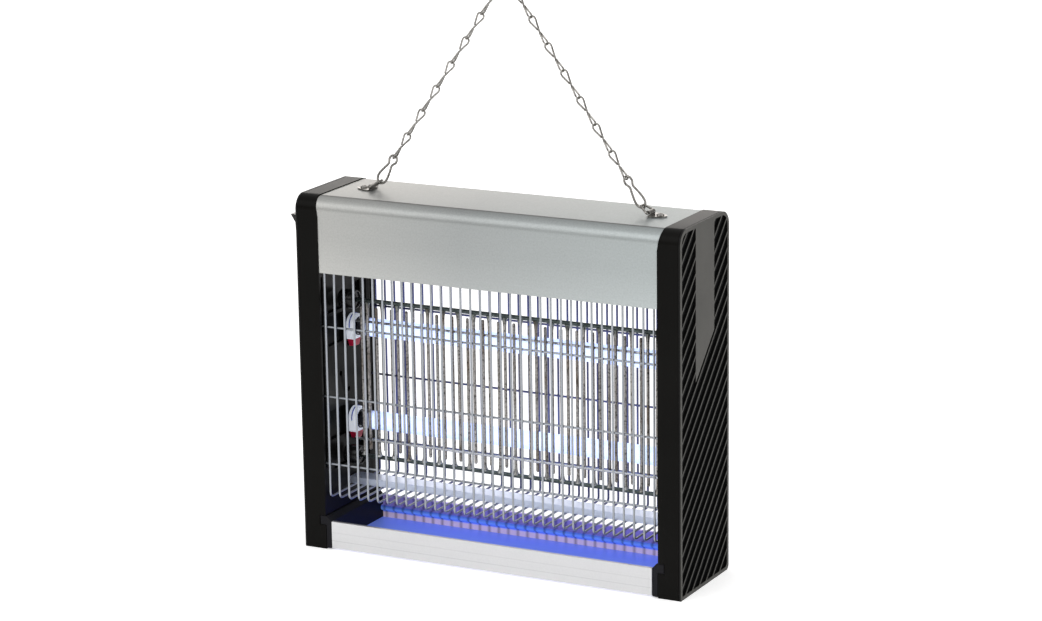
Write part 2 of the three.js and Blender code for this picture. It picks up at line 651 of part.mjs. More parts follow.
function electrics() {
  const deck = CHASSIS_Z + 1 + GAP;
  const board = block(-60, 40, -28, 26, deck + 5, deck + 6.6);
  const posts = [[-56, -24], [36, -24], [-56, 22], [36, 22]].map(([x, y]) => {
    const post = new THREE.CylinderGeometry(2, 2, 5.5, 8);
    return solid(post.rotateX(QUARTER).translate(x, y, deck + 2.75));
  });
  const top = deck + 6.6 + GAP;
  const transformer = joined([
    block(-50, -14, -20, 16, top, top + 22), block(-44, -20, -24, 20, top + 3, top + 19),
  ]);
  const choke = block(60, 104, -18, 14, deck, deck + 24);
  const capacitor = new THREE.CylinderGeometry(8, 8, 22, ROUND).rotateX(QUARTER)
    .translate(14, -8, top + 11);
  const terminals = joined([
    block(-118, -90, -12, 6, deck, deck + 12), block(-116, -92, -9, 3, deck + 11, deck + 16),
  ]);
  return [
    named('circuit_board', geometryOf(joined([board, ...posts])), 'circuitGreen'),
    named('high_voltage_transformer', geometryOf(transformer), 'copper'),
    named('lamp_ballast', geometryOf(choke), 'zinc'),
    named('storage_capacitor', capacitor, 'glossBlack'),
    named('terminal_block', geometryOf(terminals), 'whitePlastic'),
  ];
}

// ---- Hanging gear ------------------------------------------------------------------------------

const BAIL_WIRE = 1;               // radius
const CURL_INNER = 1.35;
const CURL_OUTER = 2.15;
const COVER_TOP_Z = HEIGHT - COVER_SET_BACK;

// A riveted plate, narrower outwards, whose inner edge is curled round the bail.
function bracket(side) {
  const base = COVER_TOP_Z + GAP;
  const outline = polygon([[0, -8], [4, -8], [12, -4.2], [14.5, 0], [12, 4.2], [4, 8], [0, 8]]
    .map(([x, y]) => [side * (BRACKET_X + x), y]));
  const plate = solid(new THREE.ExtrudeGeometry(outline, { depth: 0.8, bevelEnabled: false })
    .translate(0, 0, base));
  const curl = new THREE.Shape();
  const from = -QUARTER;
  const to = 2 * QUARTER + 0.3;
  curl.absarc(0, 0, CURL_OUTER, from, to);
  curl.absarc(0, 0, CURL_INNER, to, from, true);
  const eye = alongY(curl, -4.8, 4.8);
  if (side < 0) {
    eye.rotateZ(Math.PI);
  }
  eye.translate(side * BRACKET_X, 0, BRACKET_PIVOT_Z);
  const seat = sideBlock(side, BRACKET_X - 0.4, BRACKET_X + 2, -4.8, 4.8, base,
    BRACKET_PIVOT_Z - CURL_INNER - 0.2);
  return geometryOf(joined([plate, solid(eye), seat]));
}

function rivet() {
  const profile = [[0, 0], [3.2, 0], [2.9, 0.7], [1.9, 1.3], [0, 1.55]]
    .map(([r, y]) => new THREE.Vector2(r, y));
  return new THREE.LatheGeometry(profile, 12).rotateX(QUARTER);
}

// The bail's wire starts and ends inside the curl and narrows to a short crosspiece.
function bail(side) {
  const outward = new THREE.Vector3(-side * Math.cos(BAIL_LEAN), 0, Math.sin(BAIL_LEAN));
  const at = (y, along) => outward.clone().multiplyScalar(along).add(new THREE.Vector3(0, y, 0));
  const points = [at(-0.4, 0), at(-5.8, 0), at(-6.6, 0.9), at(-3.3, BAIL_LENGTH - 1),
    at(-2.4, BAIL_LENGTH), at(2.4, BAIL_LENGTH), at(3.3, BAIL_LENGTH - 1), at(6.6, 0.9),
    at(5.8, 0), at(0.4, 0)];
  return geometryOf(wire(points, BAIL_WIRE, 6));
}

function bailTop(side) {
  return new THREE.Vector3(side * (BRACKET_X - BAIL_LENGTH * Math.cos(BAIL_LEAN)), 0,
    BRACKET_PIVOT_Z + BAIL_LENGTH * Math.sin(BAIL_LEAN));
}

// The chain's own axes: along it, across it in the XZ plane, and the Y axis.
function chainAxes(side) {
  const start = bailTop(side);
  const end = CHAIN_END.clone().setX(side * CHAIN_END.x);
  const along = end.clone().sub(start);
  const length = along.length();
  along.normalize();
  const across = new THREE.Vector3(along.z, 0, -along.x);
  return { along, across, depth: new THREE.Vector3(0, 1, 0), length };
}

// A place beside the chain: `s` along it, `w` sideways in a plane turned by `angle`.
function beside(axes, s, w, angle) {
  return axes.along.clone().multiplyScalar(s)
    .addScaledVector(axes.across, w * Math.cos(angle))
    .addScaledVector(axes.depth, w * Math.sin(angle));
}

// The connecting link: a wide lower lobe, a waist and a round upper loop, bent from one
// wire whose ends pass each other on one flank.
function connectingLink(side) {
  const axes = chainAxes(side);
  const outline = [[3.6, 9], [4.1, 5.2], [3.5, 0.8], [0, -2.3], [-3.5, 0.8], [-4.1, 5.2],
    [-2.9, 11.5], [-1.7, 17.2], [-3.3, 21.2], [-2.6, 24.8], [0, 26.1], [2.6, 24.8],
    [3.3, 21.2], [1.7, 17.2], [2.5, 12]];
  const route = new THREE.CatmullRomCurve3(outline.map(([w, s]) => beside(axes, s, w, 0)));
  return geometryOf(wire(route.getPoints(28), 0.9, 6));
}

// A twisted link: two loops at right angles, pinched between them. With the angle round
// the link, the place along it follows a cosine and the width is a sine that a squared
// cosine narrows at the waist.
function twistedLinkPoints(axes, from, pitch, steps) {
  const overlap = LINK_WIRE * 0.3;
  const points = [];
  for (let index = 0; index <= steps; index += 1) {
    const round = QUARTER + 0.12 + (index / steps) * (4 * QUARTER - 0.24);
    const s = pitch / 2 - (pitch / 2 + overlap) * Math.cos(round);
    const w = LINK_BREADTH * Math.sin(round) * (0.12 + 0.88 * Math.cos(round) ** 2);
    const twist = THREE.MathUtils.smoothstep(s, pitch * 0.36, pitch * 0.64) * QUARTER;
    points.push(beside(axes, from + s, w, QUARTER + twist));
  }
  return points;
}

function chain(side) {
  const axes = chainAxes(side);
  const start = CONNECTOR_PITCH - 0.9;
  const pitch = (axes.length - start) / CHAIN_LINKS;
  const links = Array.from({ length: CHAIN_LINKS }, (_, index) => (
    wire(twistedLinkPoints(axes, start + index * pitch, pitch, 16), LINK_WIRE / 2, 4)));
  return geometryOf(joined(links));
}

function endRing(side) {
  const radius = 6.6;
  const ring = new THREE.TorusGeometry(radius, 1, 6, ROUND).rotateY(QUARTER);
  const axes = chainAxes(side);
  const hook = axes.along.clone().multiplyScalar(axes.length - 2);
  return ring.translate(hook.x, 0, hook.z + radius);
}

function hangingGear(side) {
  const label = side < 0 ? 'left' : 'right';
  const pivot = new THREE.Group();
  pivot.position.set(side * BRACKET_X, 0, BRACKET_PIVOT_Z);
  pivot.add(named(`${label}_bail`, bail(side), 'zinc'));
  const head = named(`${label}_bracket_rivet`, rivet(), 'zinc');
  head.position.set(side * (BRACKET_X + 8.5), 0, COVER_TOP_Z + 2 * GAP + 0.8);
  const hung = new THREE.Group();
  hung.position.copy(bailTop(side));
  hung.add(named(`${label}_connecting_link`, connectingLink(side), 'zinc'));
  hung.add(named(`${label}_chain`, chain(side), 'zinc'));
  hung.add(named(`${label}_end_ring`, endRing(side), 'zinc'));
  return [named(`${label}_hanger_bracket`, bracket(side), 'zinc'), head, pivot, hung];
}

// ---- The whole appliance ----------------------------------------------------------------------

const appliance = new THREE.Group();
appliance.position.x = ROCKER_PROUD / 2;

appliance.add(named('top_cover', topCover(), 'brushedAluminium'));
appliance.add(named('chassis_plate', chassisPlate(), 'zinc'));
for (const [label, side] of [['left', -1], ['right', 1]]) {
  appliance.add(named(`${label}_end_housing`, endHousing(side), 'blackPlastic'));
  appliance.add(named(`${label}_louvre_panel`, outerPanel(side), 'blackPlastic'));
  appliance.add(...hangingGear(side));
}
appliance.add(named('guard_grille', guardGrille(), 'zinc'));
appliance.add(named('lower_crossbar', lowerCrossbar(), 'millAluminium'));

for (const [level, comb] of Object.entries(COMBS)) {
  const { up } = comb;
  appliance.add(named(`${level}_electrode`, electrode(comb), 'steelRod'));
  for (const [label, side] of [['left', -1], ['right', 1]]) {
    const boss = named(`${level}_insulator_${label}`,
      insulator(8, BOSS_LENGTH - GAP, 2.3, SOCKET_DEPTH), 'glossBlack');
    boss.position.set(side * (WALL_X - GAP), comb.y, FIELD_Z + up * comb.rail);
    boss.rotation.z = side > 0 ? Math.PI : 0;
    const lampZ = FIELD_Z + up * LAMP_SPACING / 2;
    const holder = named(`${level}_lampholder_${label}`, lampHolder(side), 'whitePlastic');
    holder.position.set(0, LAMP_Y, lampZ);
    const clip = named(`${level}_lamp_clip_${label}`, lampClip(side), 'redPlastic');
    clip.position.set(0, LAMP_Y, lampZ);
    appliance.add(boss, holder, clip);
  }
  appliance.add(lamp(level, FIELD_Z + up * LAMP_SPACING / 2));
}

appliance.add(tray(), ...electrics());
appliance.add(named('switch_bezel', switchBezel(), 'glossBlack'));
const rockerMesh = named('switch_rocker', rocker(), 'glossBlack');
rockerMesh.position.set(-HALF_WIDTH, SWITCH_Y, SWITCH_Z);
rockerMesh.rotation.y = -ROCKER_TILT;
appliance.add(rockerMesh);
appliance.add(named('cord_gland', cordGland(), 'glossBlack'));

export default appliance;
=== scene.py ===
"""Electric bug zapper: finished surfaces, materials, light and camera around the fixed frame.

Shapes are worked out in millimetres from the appliance's middle plane (X across, Y to the rear,
Z up) and are put into the meshes in metres.
"""

import json
import math

import bmesh
import bpy
import numpy as np
from mathutils import Matrix, Vector


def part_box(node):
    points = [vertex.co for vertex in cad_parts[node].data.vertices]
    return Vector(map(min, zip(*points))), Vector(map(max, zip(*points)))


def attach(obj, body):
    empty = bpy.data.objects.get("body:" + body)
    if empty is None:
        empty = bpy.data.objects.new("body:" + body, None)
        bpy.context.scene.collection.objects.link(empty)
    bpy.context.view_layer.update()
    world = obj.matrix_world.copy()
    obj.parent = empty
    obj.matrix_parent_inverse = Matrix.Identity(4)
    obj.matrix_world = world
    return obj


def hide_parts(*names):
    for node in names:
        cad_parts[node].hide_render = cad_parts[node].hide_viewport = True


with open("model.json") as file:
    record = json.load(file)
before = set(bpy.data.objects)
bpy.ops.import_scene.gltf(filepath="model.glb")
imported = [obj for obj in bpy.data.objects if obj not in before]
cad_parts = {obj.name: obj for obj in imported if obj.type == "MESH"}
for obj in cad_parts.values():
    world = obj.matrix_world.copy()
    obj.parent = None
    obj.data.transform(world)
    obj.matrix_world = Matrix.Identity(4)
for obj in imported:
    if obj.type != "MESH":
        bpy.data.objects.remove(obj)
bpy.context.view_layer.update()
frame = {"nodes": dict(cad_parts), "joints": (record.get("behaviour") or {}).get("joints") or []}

TAU = 2 * math.pi
QUARTER = math.pi / 2


# ---- Places taken from the frame ---------------------------------------------------------------

def box_of(*nodes):
    """Lowest and highest corner of some nodes together, in the frame's own millimetres."""
    corners = np.array([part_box(node) for node in nodes]) * 1000
    return corners[:, 0].min(axis=0), corners[:, 1].max(axis=0)


cover_low, cover_high = box_of("top_cover")
MIDDLE = np.array([(cover_low[0] + cover_high[0]) / 2, 0, 0])


def span(*nodes):
    """The same box, measured from the appliance's middle plane."""
    low, high = box_of(*nodes)
    return low - MIDDLE, high - MIDDLE


def joint_place(name):
    """A joint's pivot in millimetres from the middle plane."""
    joint = next(entry for entry in frame["joints"] if entry["name"] == name)
    return np.array(joint["pos_m"]) * 1000 - MIDDLE


def heights(node):
    """The heights of a node's foot and top, in metres."""
    low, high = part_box(node)
    return low[2], high[2]


# The end housings' inner walls are one gap past the ends of the crossbar.
TOUCH_GAP = 0.3
WALL_X = span("lower_crossbar")[1][0] + TOUCH_GAP
guard_low, guard_high = span("guard_grille")
SIDES = (("left", -1), ("right", 1))
LEVELS = ("upper", "lower")
lamp_axis = {level: joint_place(f"{level}_tube_turn") for level in LEVELS}


# ---- Surfaces as arrays ------------------------------------------------------------------------

def arc(centre, radius, start, end, count):
    """Points of a circle's arc from one angle to another: centre + radius (cos, sin)."""
    angle = np.linspace(start, end, count)
    return np.stack([centre[0] + radius * np.cos(angle), centre[1] + radius * np.sin(angle)], 1)


def skin(points, loop=False):
    """Quads over a grid of points: rows run along the piece and columns around it.

    The columns close into a ring. The rows close too in a loop, and have two end faces otherwise.
    """
    rows, columns = points.shape[:2]
    index = np.arange(rows * columns).reshape(rows, columns)
    index = np.concatenate([index, index[:, :1]], axis=1)
    if loop:
        index = np.concatenate([index, index[:1]], axis=0)
    quads = np.stack([index[:-1, :-1], index[:-1, 1:], index[1:, 1:], index[1:, :-1]], axis=2)
    faces = [tuple(face) for face in quads.reshape(-1, 4).tolist()]
    if not loop:
        faces.append(tuple(range(columns))[::-1])
        faces.append(tuple(range((rows - 1) * columns, rows * columns)))
    return points.reshape(-1, 3), faces


def unit(vectors):
    """Vectors divided by their own lengths."""
    return vectors / np.linalg.norm(vectors, axis=-1, keepdims=True)


def wire(path, radius, around=12, loop=False, beside=(0, 0, 1), round_ends=True):
    """A round wire: each point of the path carries a circle of its radius across the path.

    `beside` is a direction, or one for each point, that is never along the path. A round end is
    three shrinking circles past the last point: radius cos(a) at a distance radius sin(a).
    """
    path = np.asarray(path, float)
    radius = np.broadcast_to(radius, len(path)).astype(float)
    if loop:
        along = unit(np.roll(path, -1, axis=0) - np.roll(path, 1, axis=0))
    else:
        along = unit(np.gradient(path, axis=0))
    beside = np.broadcast_to(beside, path.shape)
    if round_ends and not loop:
        turn = np.array([80, 55, 28]) * math.pi / 180
        first = path[0] - along[0] * (radius[0] * np.sin(turn))[:, None]
        last = path[-1] + along[-1] * (radius[-1] * np.sin(turn[::-1]))[:, None]
        path = np.concatenate([first, path, last])
        along = np.concatenate([np.repeat(along[:1], 3, 0), along, np.repeat(along[-1:], 3, 0)])
        beside = np.concatenate([np.repeat(beside[:1], 3, 0), beside,
                                 np.repeat(beside[-1:], 3, 0)])
        radius = np.concatenate([radius[0] * np.cos(turn), radius,
                                 radius[-1] * np.cos(turn[::-1])])
    across = unit(np.cross(along, beside))
    normal = np.cross(across, along)
    angle = np.linspace(0, TAU, around, endpoint=False)
    spoke = np.cos(angle)[:, None] * across[:, None] + np.sin(angle)[:, None] * normal[:, None]
    return skin(path[:, None] + radius[:, None, None] * spoke, loop=loop)


def turned(profile, centre, axis="x", around=48):
    """A turned piece: a profile of (place along the axis, radius) carried round the axis."""
    profile = np.asarray(profile, float)
    angle = np.linspace(0, TAU, around, endpoint=False)
    along = np.repeat(profile[:, :1], around, axis=1)
    first = profile[:, 1:] * np.cos(angle)
    second = profile[:, 1:] * np.sin(angle)
    order = {"x": (along, first, second), "z": (first, second, along)}[axis]
    return skin(np.stack(order, axis=2) + np.asarray(centre, float))


# ---- Pieces ------------------------------------------------------------------------------------

def set_smooth(mesh, angle=35):
    """Smooth shading, with a crease at every edge sharper than the angle in degrees."""
    mesh.polygons.foreach_set("use_smooth", np.ones(len(mesh.polygons), bool))
    mesh.set_sharp_from_angle(angle=math.radians(angle))


def dress(thing, finish, body, nodes):
    """Gives a piece its finish and its body, and lets it stand for its frame nodes."""
    thing.data.materials.clear()
    thing.data.materials.append(finish)
    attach(thing, body)
    if nodes:
        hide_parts(*nodes)
    return thing


def piece(name, skins, finish, body="housing", nodes=(), angle=35):
    """One object from several skins, given in millimetres from the middle plane."""
    points = np.concatenate([skin_points for skin_points, _ in skins])
    starts = np.cumsum([0] + [len(skin_points) for skin_points, _ in skins[:-1]])
    faces = [tuple(index + start for index in face)
             for start, (_, skin_faces) in zip(starts.tolist(), skins) for face in skin_faces]
    mesh = bpy.data.meshes.new(name)
    mesh.from_pydata(((points + MIDDLE) / 1000).tolist(), [], faces)
    bm = bmesh.new()
    bm.from_mesh(mesh)
    bmesh.ops.recalc_face_normals(bm, faces=bm.faces)
    bm.to_mesh(mesh)
    bm.free()
    set_smooth(mesh, angle)
    thing = bpy.data.objects.new(name, mesh)
    bpy.context.collection.objects.link(thing)
    return dress(thing, finish, body, nodes)


BEVEL_ANGLE = 32
MERGE_DISTANCE = 2e-6
FLAT_ANGLE = 0.6


def soften(thing, width_mm):
    """Rounds the edges that are sharper than the bevel angle."""
    bevel = thing.modifiers.new("soft_edges", "BEVEL")
    bevel.width = width_mm / 1000
    bevel.segments = 2
    bevel.limit_method = "ANGLE"
    bevel.angle_limit = math.radians(BEVEL_ANGLE)
    bevel.harden_normals = True
    bevel.use_clamp_overlap = True


def softened_copy(node, finish, body="housing", bevel=0.3):
    """A frame node's own shape, merged, with soft edges and smooth curves; bevel in millimetres."""
    mesh = frame["nodes"][node].data.copy()
    bm = bmesh.new()
    bm.from_mesh(mesh)
    bmesh.ops.remove_doubles(bm, verts=bm.verts, dist=MERGE_DISTANCE)
    bmesh.ops.dissolve_limit(bm, angle_limit=math.radians(FLAT_ANGLE), verts=bm.verts,
                             edges=bm.edges)
    bm.to_mesh(mesh)
    bm.free()
    set_smooth(mesh)
    thing = bpy.data.objects.new(f"{node}_finished", mesh)
    bpy.context.collection.objects.link(thing)
    soften(thing, bevel)
    return dress(thing, finish, body, [node])


# ---- Finishes ----------------------------------------------------------------------------------

class Finish:
    """A procedural material on object coordinates (metres), built up call by call."""

    def __init__(self, name, roughness=0.4, metallic=0.0, colour=(0.8, 0.8, 0.8)):
        self.material = bpy.data.materials.new(name)
        self.material.use_nodes = True
        self.tree = self.material.node_tree
        self.shader = self.tree.nodes["Principled BSDF"]
        self.set("Metallic", metallic)
        self.set("Roughness", roughness)
        self.set("Base Color", (*colour, 1))
        self.place = self.tree.nodes.new("ShaderNodeTexCoord").outputs["Object"]

    def set(self, socket, value):
        """Gives one of the shader's own sockets a value that is the same all over."""
        self.shader.inputs[socket].default_value = value
        return self

    def link(self, source, target):
        """Leads one node's output to another's input."""
        self.tree.links.new(source, target)
        return source

    def stretched(self, scale):
        """The object coordinates multiplied along each axis."""
        mapping = self.tree.nodes.new("ShaderNodeMapping")
        mapping.inputs["Scale"].default_value = scale
        self.link(self.place, mapping.inputs["Vector"])
        return mapping.outputs["Vector"]

    def part(self, vector, axis):
        """One of the three parts of a vector."""
        split = self.tree.nodes.new("ShaderNodeSeparateXYZ")
        self.link(vector, split.inputs["Vector"])
        return split.outputs[axis]

    def spread(self, value, low, high, start=0.0, end=1.0):
        """`start` where the value is `low`, `end` where it is `high`, and even in between."""
        node = self.tree.nodes.new("ShaderNodeMapRange")
        for socket, number in zip(("From Min", "From Max", "To Min", "To Max"),
                                  (low, high, start, end)):
            node.inputs[socket].default_value = number
        self.link(value, node.inputs["Value"])
        return node.outputs["Result"]

    def worked(self, operation, value, other=0.0):
        """A value put through one step of arithmetic."""
        node = self.tree.nodes.new("ShaderNodeMath")
        node.operation = operation
        node.inputs[1].default_value = other
        self.link(value, node.inputs[0])
        return node.outputs["Value"]

    def noise(self, scale, stretch=(1, 1, 1), detail=3.0, roughness=0.55):
        """Soft random grey: the scale is in waves per metre, drawn out by the stretch."""
        node = self.tree.nodes.new("ShaderNodeTexNoise")
        node.inputs["Scale"].default_value = scale
        node.inputs["Detail"].default_value = detail
        node.inputs["Roughness"].default_value = roughness
        self.link(self.stretched(stretch), node.inputs["Vector"])
        return node.outputs["Fac"]

    def ramp(self, source, stops):
        """Colours (or greys) at places between 0 and 1."""
        node = self.tree.nodes.new("ShaderNodeValToRGB")
        elements = node.color_ramp.elements
        while len(elements) < len(stops):
            elements.new(0.5)
        for element, (place, colour) in zip(elements, stops):
            element.position = place
            shade = (colour,) * 3 if isinstance(colour, (int, float)) else colour
            element.color = (*shade, 1)
        self.link(source, node.inputs["Fac"])
        return node.outputs["Color"]

    def coordinate(self, axis, low, high):
        """0 at `low` and 1 at `high` along one axis, in metres."""
        return self.spread(self.part(self.place, axis), low, high)

    def repeated(self, axis, pitch):
        """0 to 1 again and again along one axis, once in every pitch."""
        return self.worked("FRACT", self.part(self.stretched((1 / pitch,) * 3), axis))

    def facing(self, axis, start, end):
        """0 where the surface's normal has `start` along the axis, and 1 where it has `end`."""
        geometry = self.tree.nodes.new("ShaderNodeNewGeometry")
        return self.spread(self.part(geometry.outputs["Normal"], axis), start, end)

    def blend(self, first, second, share=None, kind="MULTIPLY"):
        """Two tones multiplied or mixed, wholly or by a share that varies over the surface."""
        node = self.tree.nodes.new("ShaderNodeMix")
        node.data_type = "RGBA"
        node.blend_type = kind
        node.inputs["Factor"].default_value = 1.0
        if share:
            self.link(share, node.inputs["Factor"])
        self.link(first, node.inputs["A"])
        self.link(second, node.inputs["B"])
        return node.outputs["Result"]

    def colour(self, source):
        """The surface's own colour."""
        self.link(source, self.shader.inputs["Base Color"])
        return self

    def roughness(self, source, low, high):
        """Roughness from `low` to `high` as the source goes from black to white."""
        self.link(self.spread(source, 0, 1, low, high), self.shader.inputs["Roughness"])
        return self

    def bump(self, source, depth, strength):
        """Raises the surface by up to `depth` metres where the source is white."""
        node = self.tree.nodes.new("ShaderNodeBump")
        node.inputs["Distance"].default_value = depth
        node.inputs["Strength"].default_value = strength
        self.link(source, node.inputs["Height"])
        self.link(node.outputs["Normal"], self.shader.inputs["Normal"])
        return self


def satin_sheet(name, shade, roughness, marks=(), speckle_tone=0.97, glow=0.0, repeat=None,
                lit_side=False):
    """Satin aluminium: fine streaks along X, a pearly speckle and broad soft clouds.

    `marks` are (axis, low, high, stops): greys that the tone is multiplied by along an axis, and
    `repeat` is (axis, pitch, stops) for a mark that comes back at every pitch. `glow` is the
    strength of a painted glow in the sheet's tone that stands in for the lamps' light thrown back.
    With
    `lit_side` the marks and the painted glow are only on the side turned to the front.
    """
    finish = Finish(name, roughness, 0.75, shade)
    streaks = finish.noise(60, (0.4, 9, 9), 4)
    speckle = finish.noise(700, detail=2)
    clouds = finish.noise(9, detail=2)
    tone = finish.ramp(streaks, [(0.3, [c * 0.975 for c in shade]), (0.7, shade)])
    tone = finish.blend(tone, finish.ramp(clouds, [(0.25, 0.95), (0.75, 1.0)]))
    tone = finish.blend(tone, finish.ramp(speckle, [(0.32, speckle_tone), (0.62, 1.0)]))
    share = finish.facing("Y", 0.6, 0.2) if lit_side else None
    for axis, low, high, stops in marks:
        tone = finish.blend(tone, finish.ramp(finish.coordinate(axis, low, high), stops), share)
    if repeat:
        axis, pitch, stops = repeat
        tone = finish.blend(tone, finish.ramp(finish.repeated(axis, pitch), stops), share)
    # A painted glow in the sheet's own tone stands in for lamplight.
    if glow:
        painted_glow = tone
        if lit_side:
            painted_glow = finish.blend(tone, finish.ramp(share, [(0.0, 0.0), (1.0, 1.0)]))
        finish.link(painted_glow, finish.shader.inputs["Emission Color"])
        finish.set("Emission Strength", glow)
    finish.colour(tone).roughness(clouds, roughness - 0.04, roughness + 0.05)
    return finish.bump(speckle, 0.00003, 0.4).material


def moulded_black(name, shade, roughness):
    """Moulded plastic: a fine spark-eroded grain and faint flow clouds."""
    finish = Finish(name, roughness, 0.0, shade).set("Specular IOR Level", 0.05)
    grain = finish.noise(1400, detail=2)
    clouds = finish.noise(18, detail=2)
    finish.colour(finish.ramp(clouds, [(0.3, shade), (0.7, [c * 1.35 for c in shade])]))
    finish.roughness(clouds, roughness - 0.03, roughness + 0.05)
    return finish.bump(grain, 0.00004, 0.35).material


def louvre_black(name):
    """The louvred panel: grey faces level with the rim as painted reflection, and painted shade
    that makes the recesses black.
    """
    face_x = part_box("right_louvre_panel")[1][0] - MIDDLE[0] / 1000
    finish = Finish(name, 0.42).set("Specular IOR Level", 0.14)
    clouds = finish.noise(30, detail=3)
    grain = finish.noise(1300, detail=2)
    from_middle = finish.worked("SUBTRACT", finish.part(finish.place, "X"), MIDDLE[0] / 1000)
    reach = finish.worked("ABSOLUTE", from_middle)
    # Painted by depth: reflection on the faces near the rim, shade in the recesses.
    faces = finish.ramp(finish.spread(reach, face_x - 0.0005, face_x - 0.0001),
                        [(0.0, (0.004, 0.004, 0.004)), (1.0, (0.056, 0.054, 0.048))])
    finish.colour(finish.blend(faces, finish.ramp(clouds, [(0.3, 0.82), (0.7, 1.0)])))
    return finish.bump(grain, 0.00003, 0.3).material


def plated_wire(name, shade, roughness=0.3, mottle=0.8):
    """Zinc-plated steel: spangled tone and slightly uneven gloss."""
    finish = Finish(name, roughness, 0.9, shade)
    spangle = finish.noise(420, detail=3)
    patches = finish.noise(55, detail=3)
    tone = finish.ramp(spangle, [(0.3, [c * mottle for c in shade]), (0.7, shade)])
    finish.colour(finish.blend(tone, finish.ramp(patches, [(0.3, 0.86), (0.7, 1.0)])))
    finish.roughness(spangle, roughness - 0.06, roughness + 0.1)
    return finish.bump(spangle, 0.00002, 0.4).material


def guard_wire_zinc(name, shade, lit_shade):
    """Guard wire: plain plating, and painted violet lamplight where the rear wires are turned to
    the front.
    """
    finish = Finish(name, 0.32, 0.85, shade)
    spangle = finish.noise(420, detail=3)
    plain = finish.ramp(spangle, [(0.3, [c * 0.78 for c in shade]), (0.7, shade)])
    lit = finish.ramp(finish.coordinate("Y", -0.030, 0.036),
                      [(0.0, shade), (0.35, shade), (0.9, lit_shade), (1.0, lit_shade)])
    finish.colour(finish.blend(plain, lit, finish.facing("Y", 0.35, 0.0), "MIX"))
    return finish.bump(spangle, 0.00002, 0.4).material


def scorched_rod(name, shade, weld_z, near_rail_tone):
    """Rod with brown heat tint and dark specks where it has sparked, and its tone changed near its
    rail.

    `weld_z` are the heights, in metres, where that changed tone is full and where it has ended.
    """
    finish = Finish(name, 0.36, 0.85, shade)
    tint = finish.noise(75, (1, 1, 0.35), 4, 0.65)
    specks = finish.noise(520, detail=4, roughness=0.7)
    tone = finish.ramp(tint, [(0.34, [c * f for c, f in zip(shade, (0.50, 0.42, 0.35))]),
                              (0.48, [c * 0.80 for c in shade]), (0.62, shade)])
    tone = finish.blend(tone, finish.ramp(specks, [(0.38, 0.2), (0.47, 0.8), (0.56, 1.0)]))
    weld = finish.coordinate("Z", *weld_z)
    tone = finish.blend(tone, finish.ramp(weld, [(0.0, near_rail_tone), (1.0, 1.0)]))
    finish.colour(tone).roughness(specks, 0.3, 0.5)
    return finish.bump(specks, 0.00004, 0.5).material


def glossy_plastic(name, shade, roughness, glow=0.0):
    """Glossy moulding with a faint ripple; the white one has a painted glow that stands in for
    lamplight through its thin wall.
    """
    finish = Finish(name, roughness, 0.0, shade).set("Specular IOR Level", 0.3)
    if glow:
        finish.set("Emission Color", (0.80, 0.88, 1.0, 1)).set("Emission Strength", glow)
    ripple = finish.noise(160, detail=2)
    finish.colour(finish.ramp(ripple, [(0.3, [c * 0.93 for c in shade]), (0.7, shade)]))
    return finish.bump(ripple, 0.00001, 0.4).material


def lit_glass(name):
    """The coated tube: an even glow, bluer towards its edge and dark at its two ends."""
    finish = Finish(name, 0.12, 0.0, (0.75, 0.8, 1.0))
    weight = finish.tree.nodes.new("ShaderNodeLayerWeight")
    weight.inputs["Blend"].default_value = 0.35
    glow = finish.ramp(weight.outputs["Facing"], [(0.0, (0.53, 0.66, 1.0)),
                                                  (0.6, (0.42, 0.54, 1.0)),
                                                  (1.0, (0.14, 0.20, 1.0))])
    low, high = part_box("upper_tube_glass")
    ends = finish.ramp(finish.coordinate("X", low[0], high[0]),
                       [(0.0, 0.02), (0.008, 0.03), (0.022, 1.0), (0.978, 1.0), (0.992, 0.03),
                        (1.0, 0.02)])
    glow = finish.blend(glow, ends)
    grain = finish.noise(300, detail=2)
    glow = finish.blend(glow, finish.ramp(grain, [(0.3, 0.93), (0.7, 1.0)]))
    finish.link(glow, finish.shader.inputs["Emission Color"])
    finish.set("Emission Strength", 1.3)
    return finish.material


def circuit_board_green(name):
    """Lacquered board with faint copper tracks under the green."""
    finish = Finish(name, 0.3, 0.0, (0.05, 0.22, 0.10))
    tracks = finish.noise(240, (1, 0.2, 1), 1)
    finish.colour(finish.ramp(tracks, [(0.45, (0.03, 0.16, 0.07)), (0.5, (0.08, 0.30, 0.13))]))
    return finish.bump(tracks, 0.00003, 0.5).material


def wound_copper(name):
    """Lacquered winding: fine turns along X."""
    finish = Finish(name, 0.35, 0.5, (0.55, 0.27, 0.12))
    turns = finish.noise(500, (1, 0.02, 0.02), 1)
    finish.colour(finish.ramp(turns, [(0.4, (0.30, 0.12, 0.05)), (0.6, (0.62, 0.32, 0.15))]))
    return finish.bump(turns, 0.0001, 0.6).material


SHEET_THICKNESS = 0.8
FRONT_BEND_RADIUS = 11.3
REAR_BEND_RADIUS = 12.3
# Above this height the cover widens from between the housings' inner walls to over them.
WIDENING_Z = 283
WIDENING_HEIGHT = 15
FOLD_Y = (cover_low[1] + FRONT_BEND_RADIUS) / 1000
GUARD_PITCH = 9.0
THICK_RAIL_INSET = 0.0016
UPPER_RAIL_Z = heights("upper_electrode")[1] - THICK_RAIL_INSET
LOWER_RAIL_Z = heights("lower_electrode")[0] + THICK_RAIL_INSET
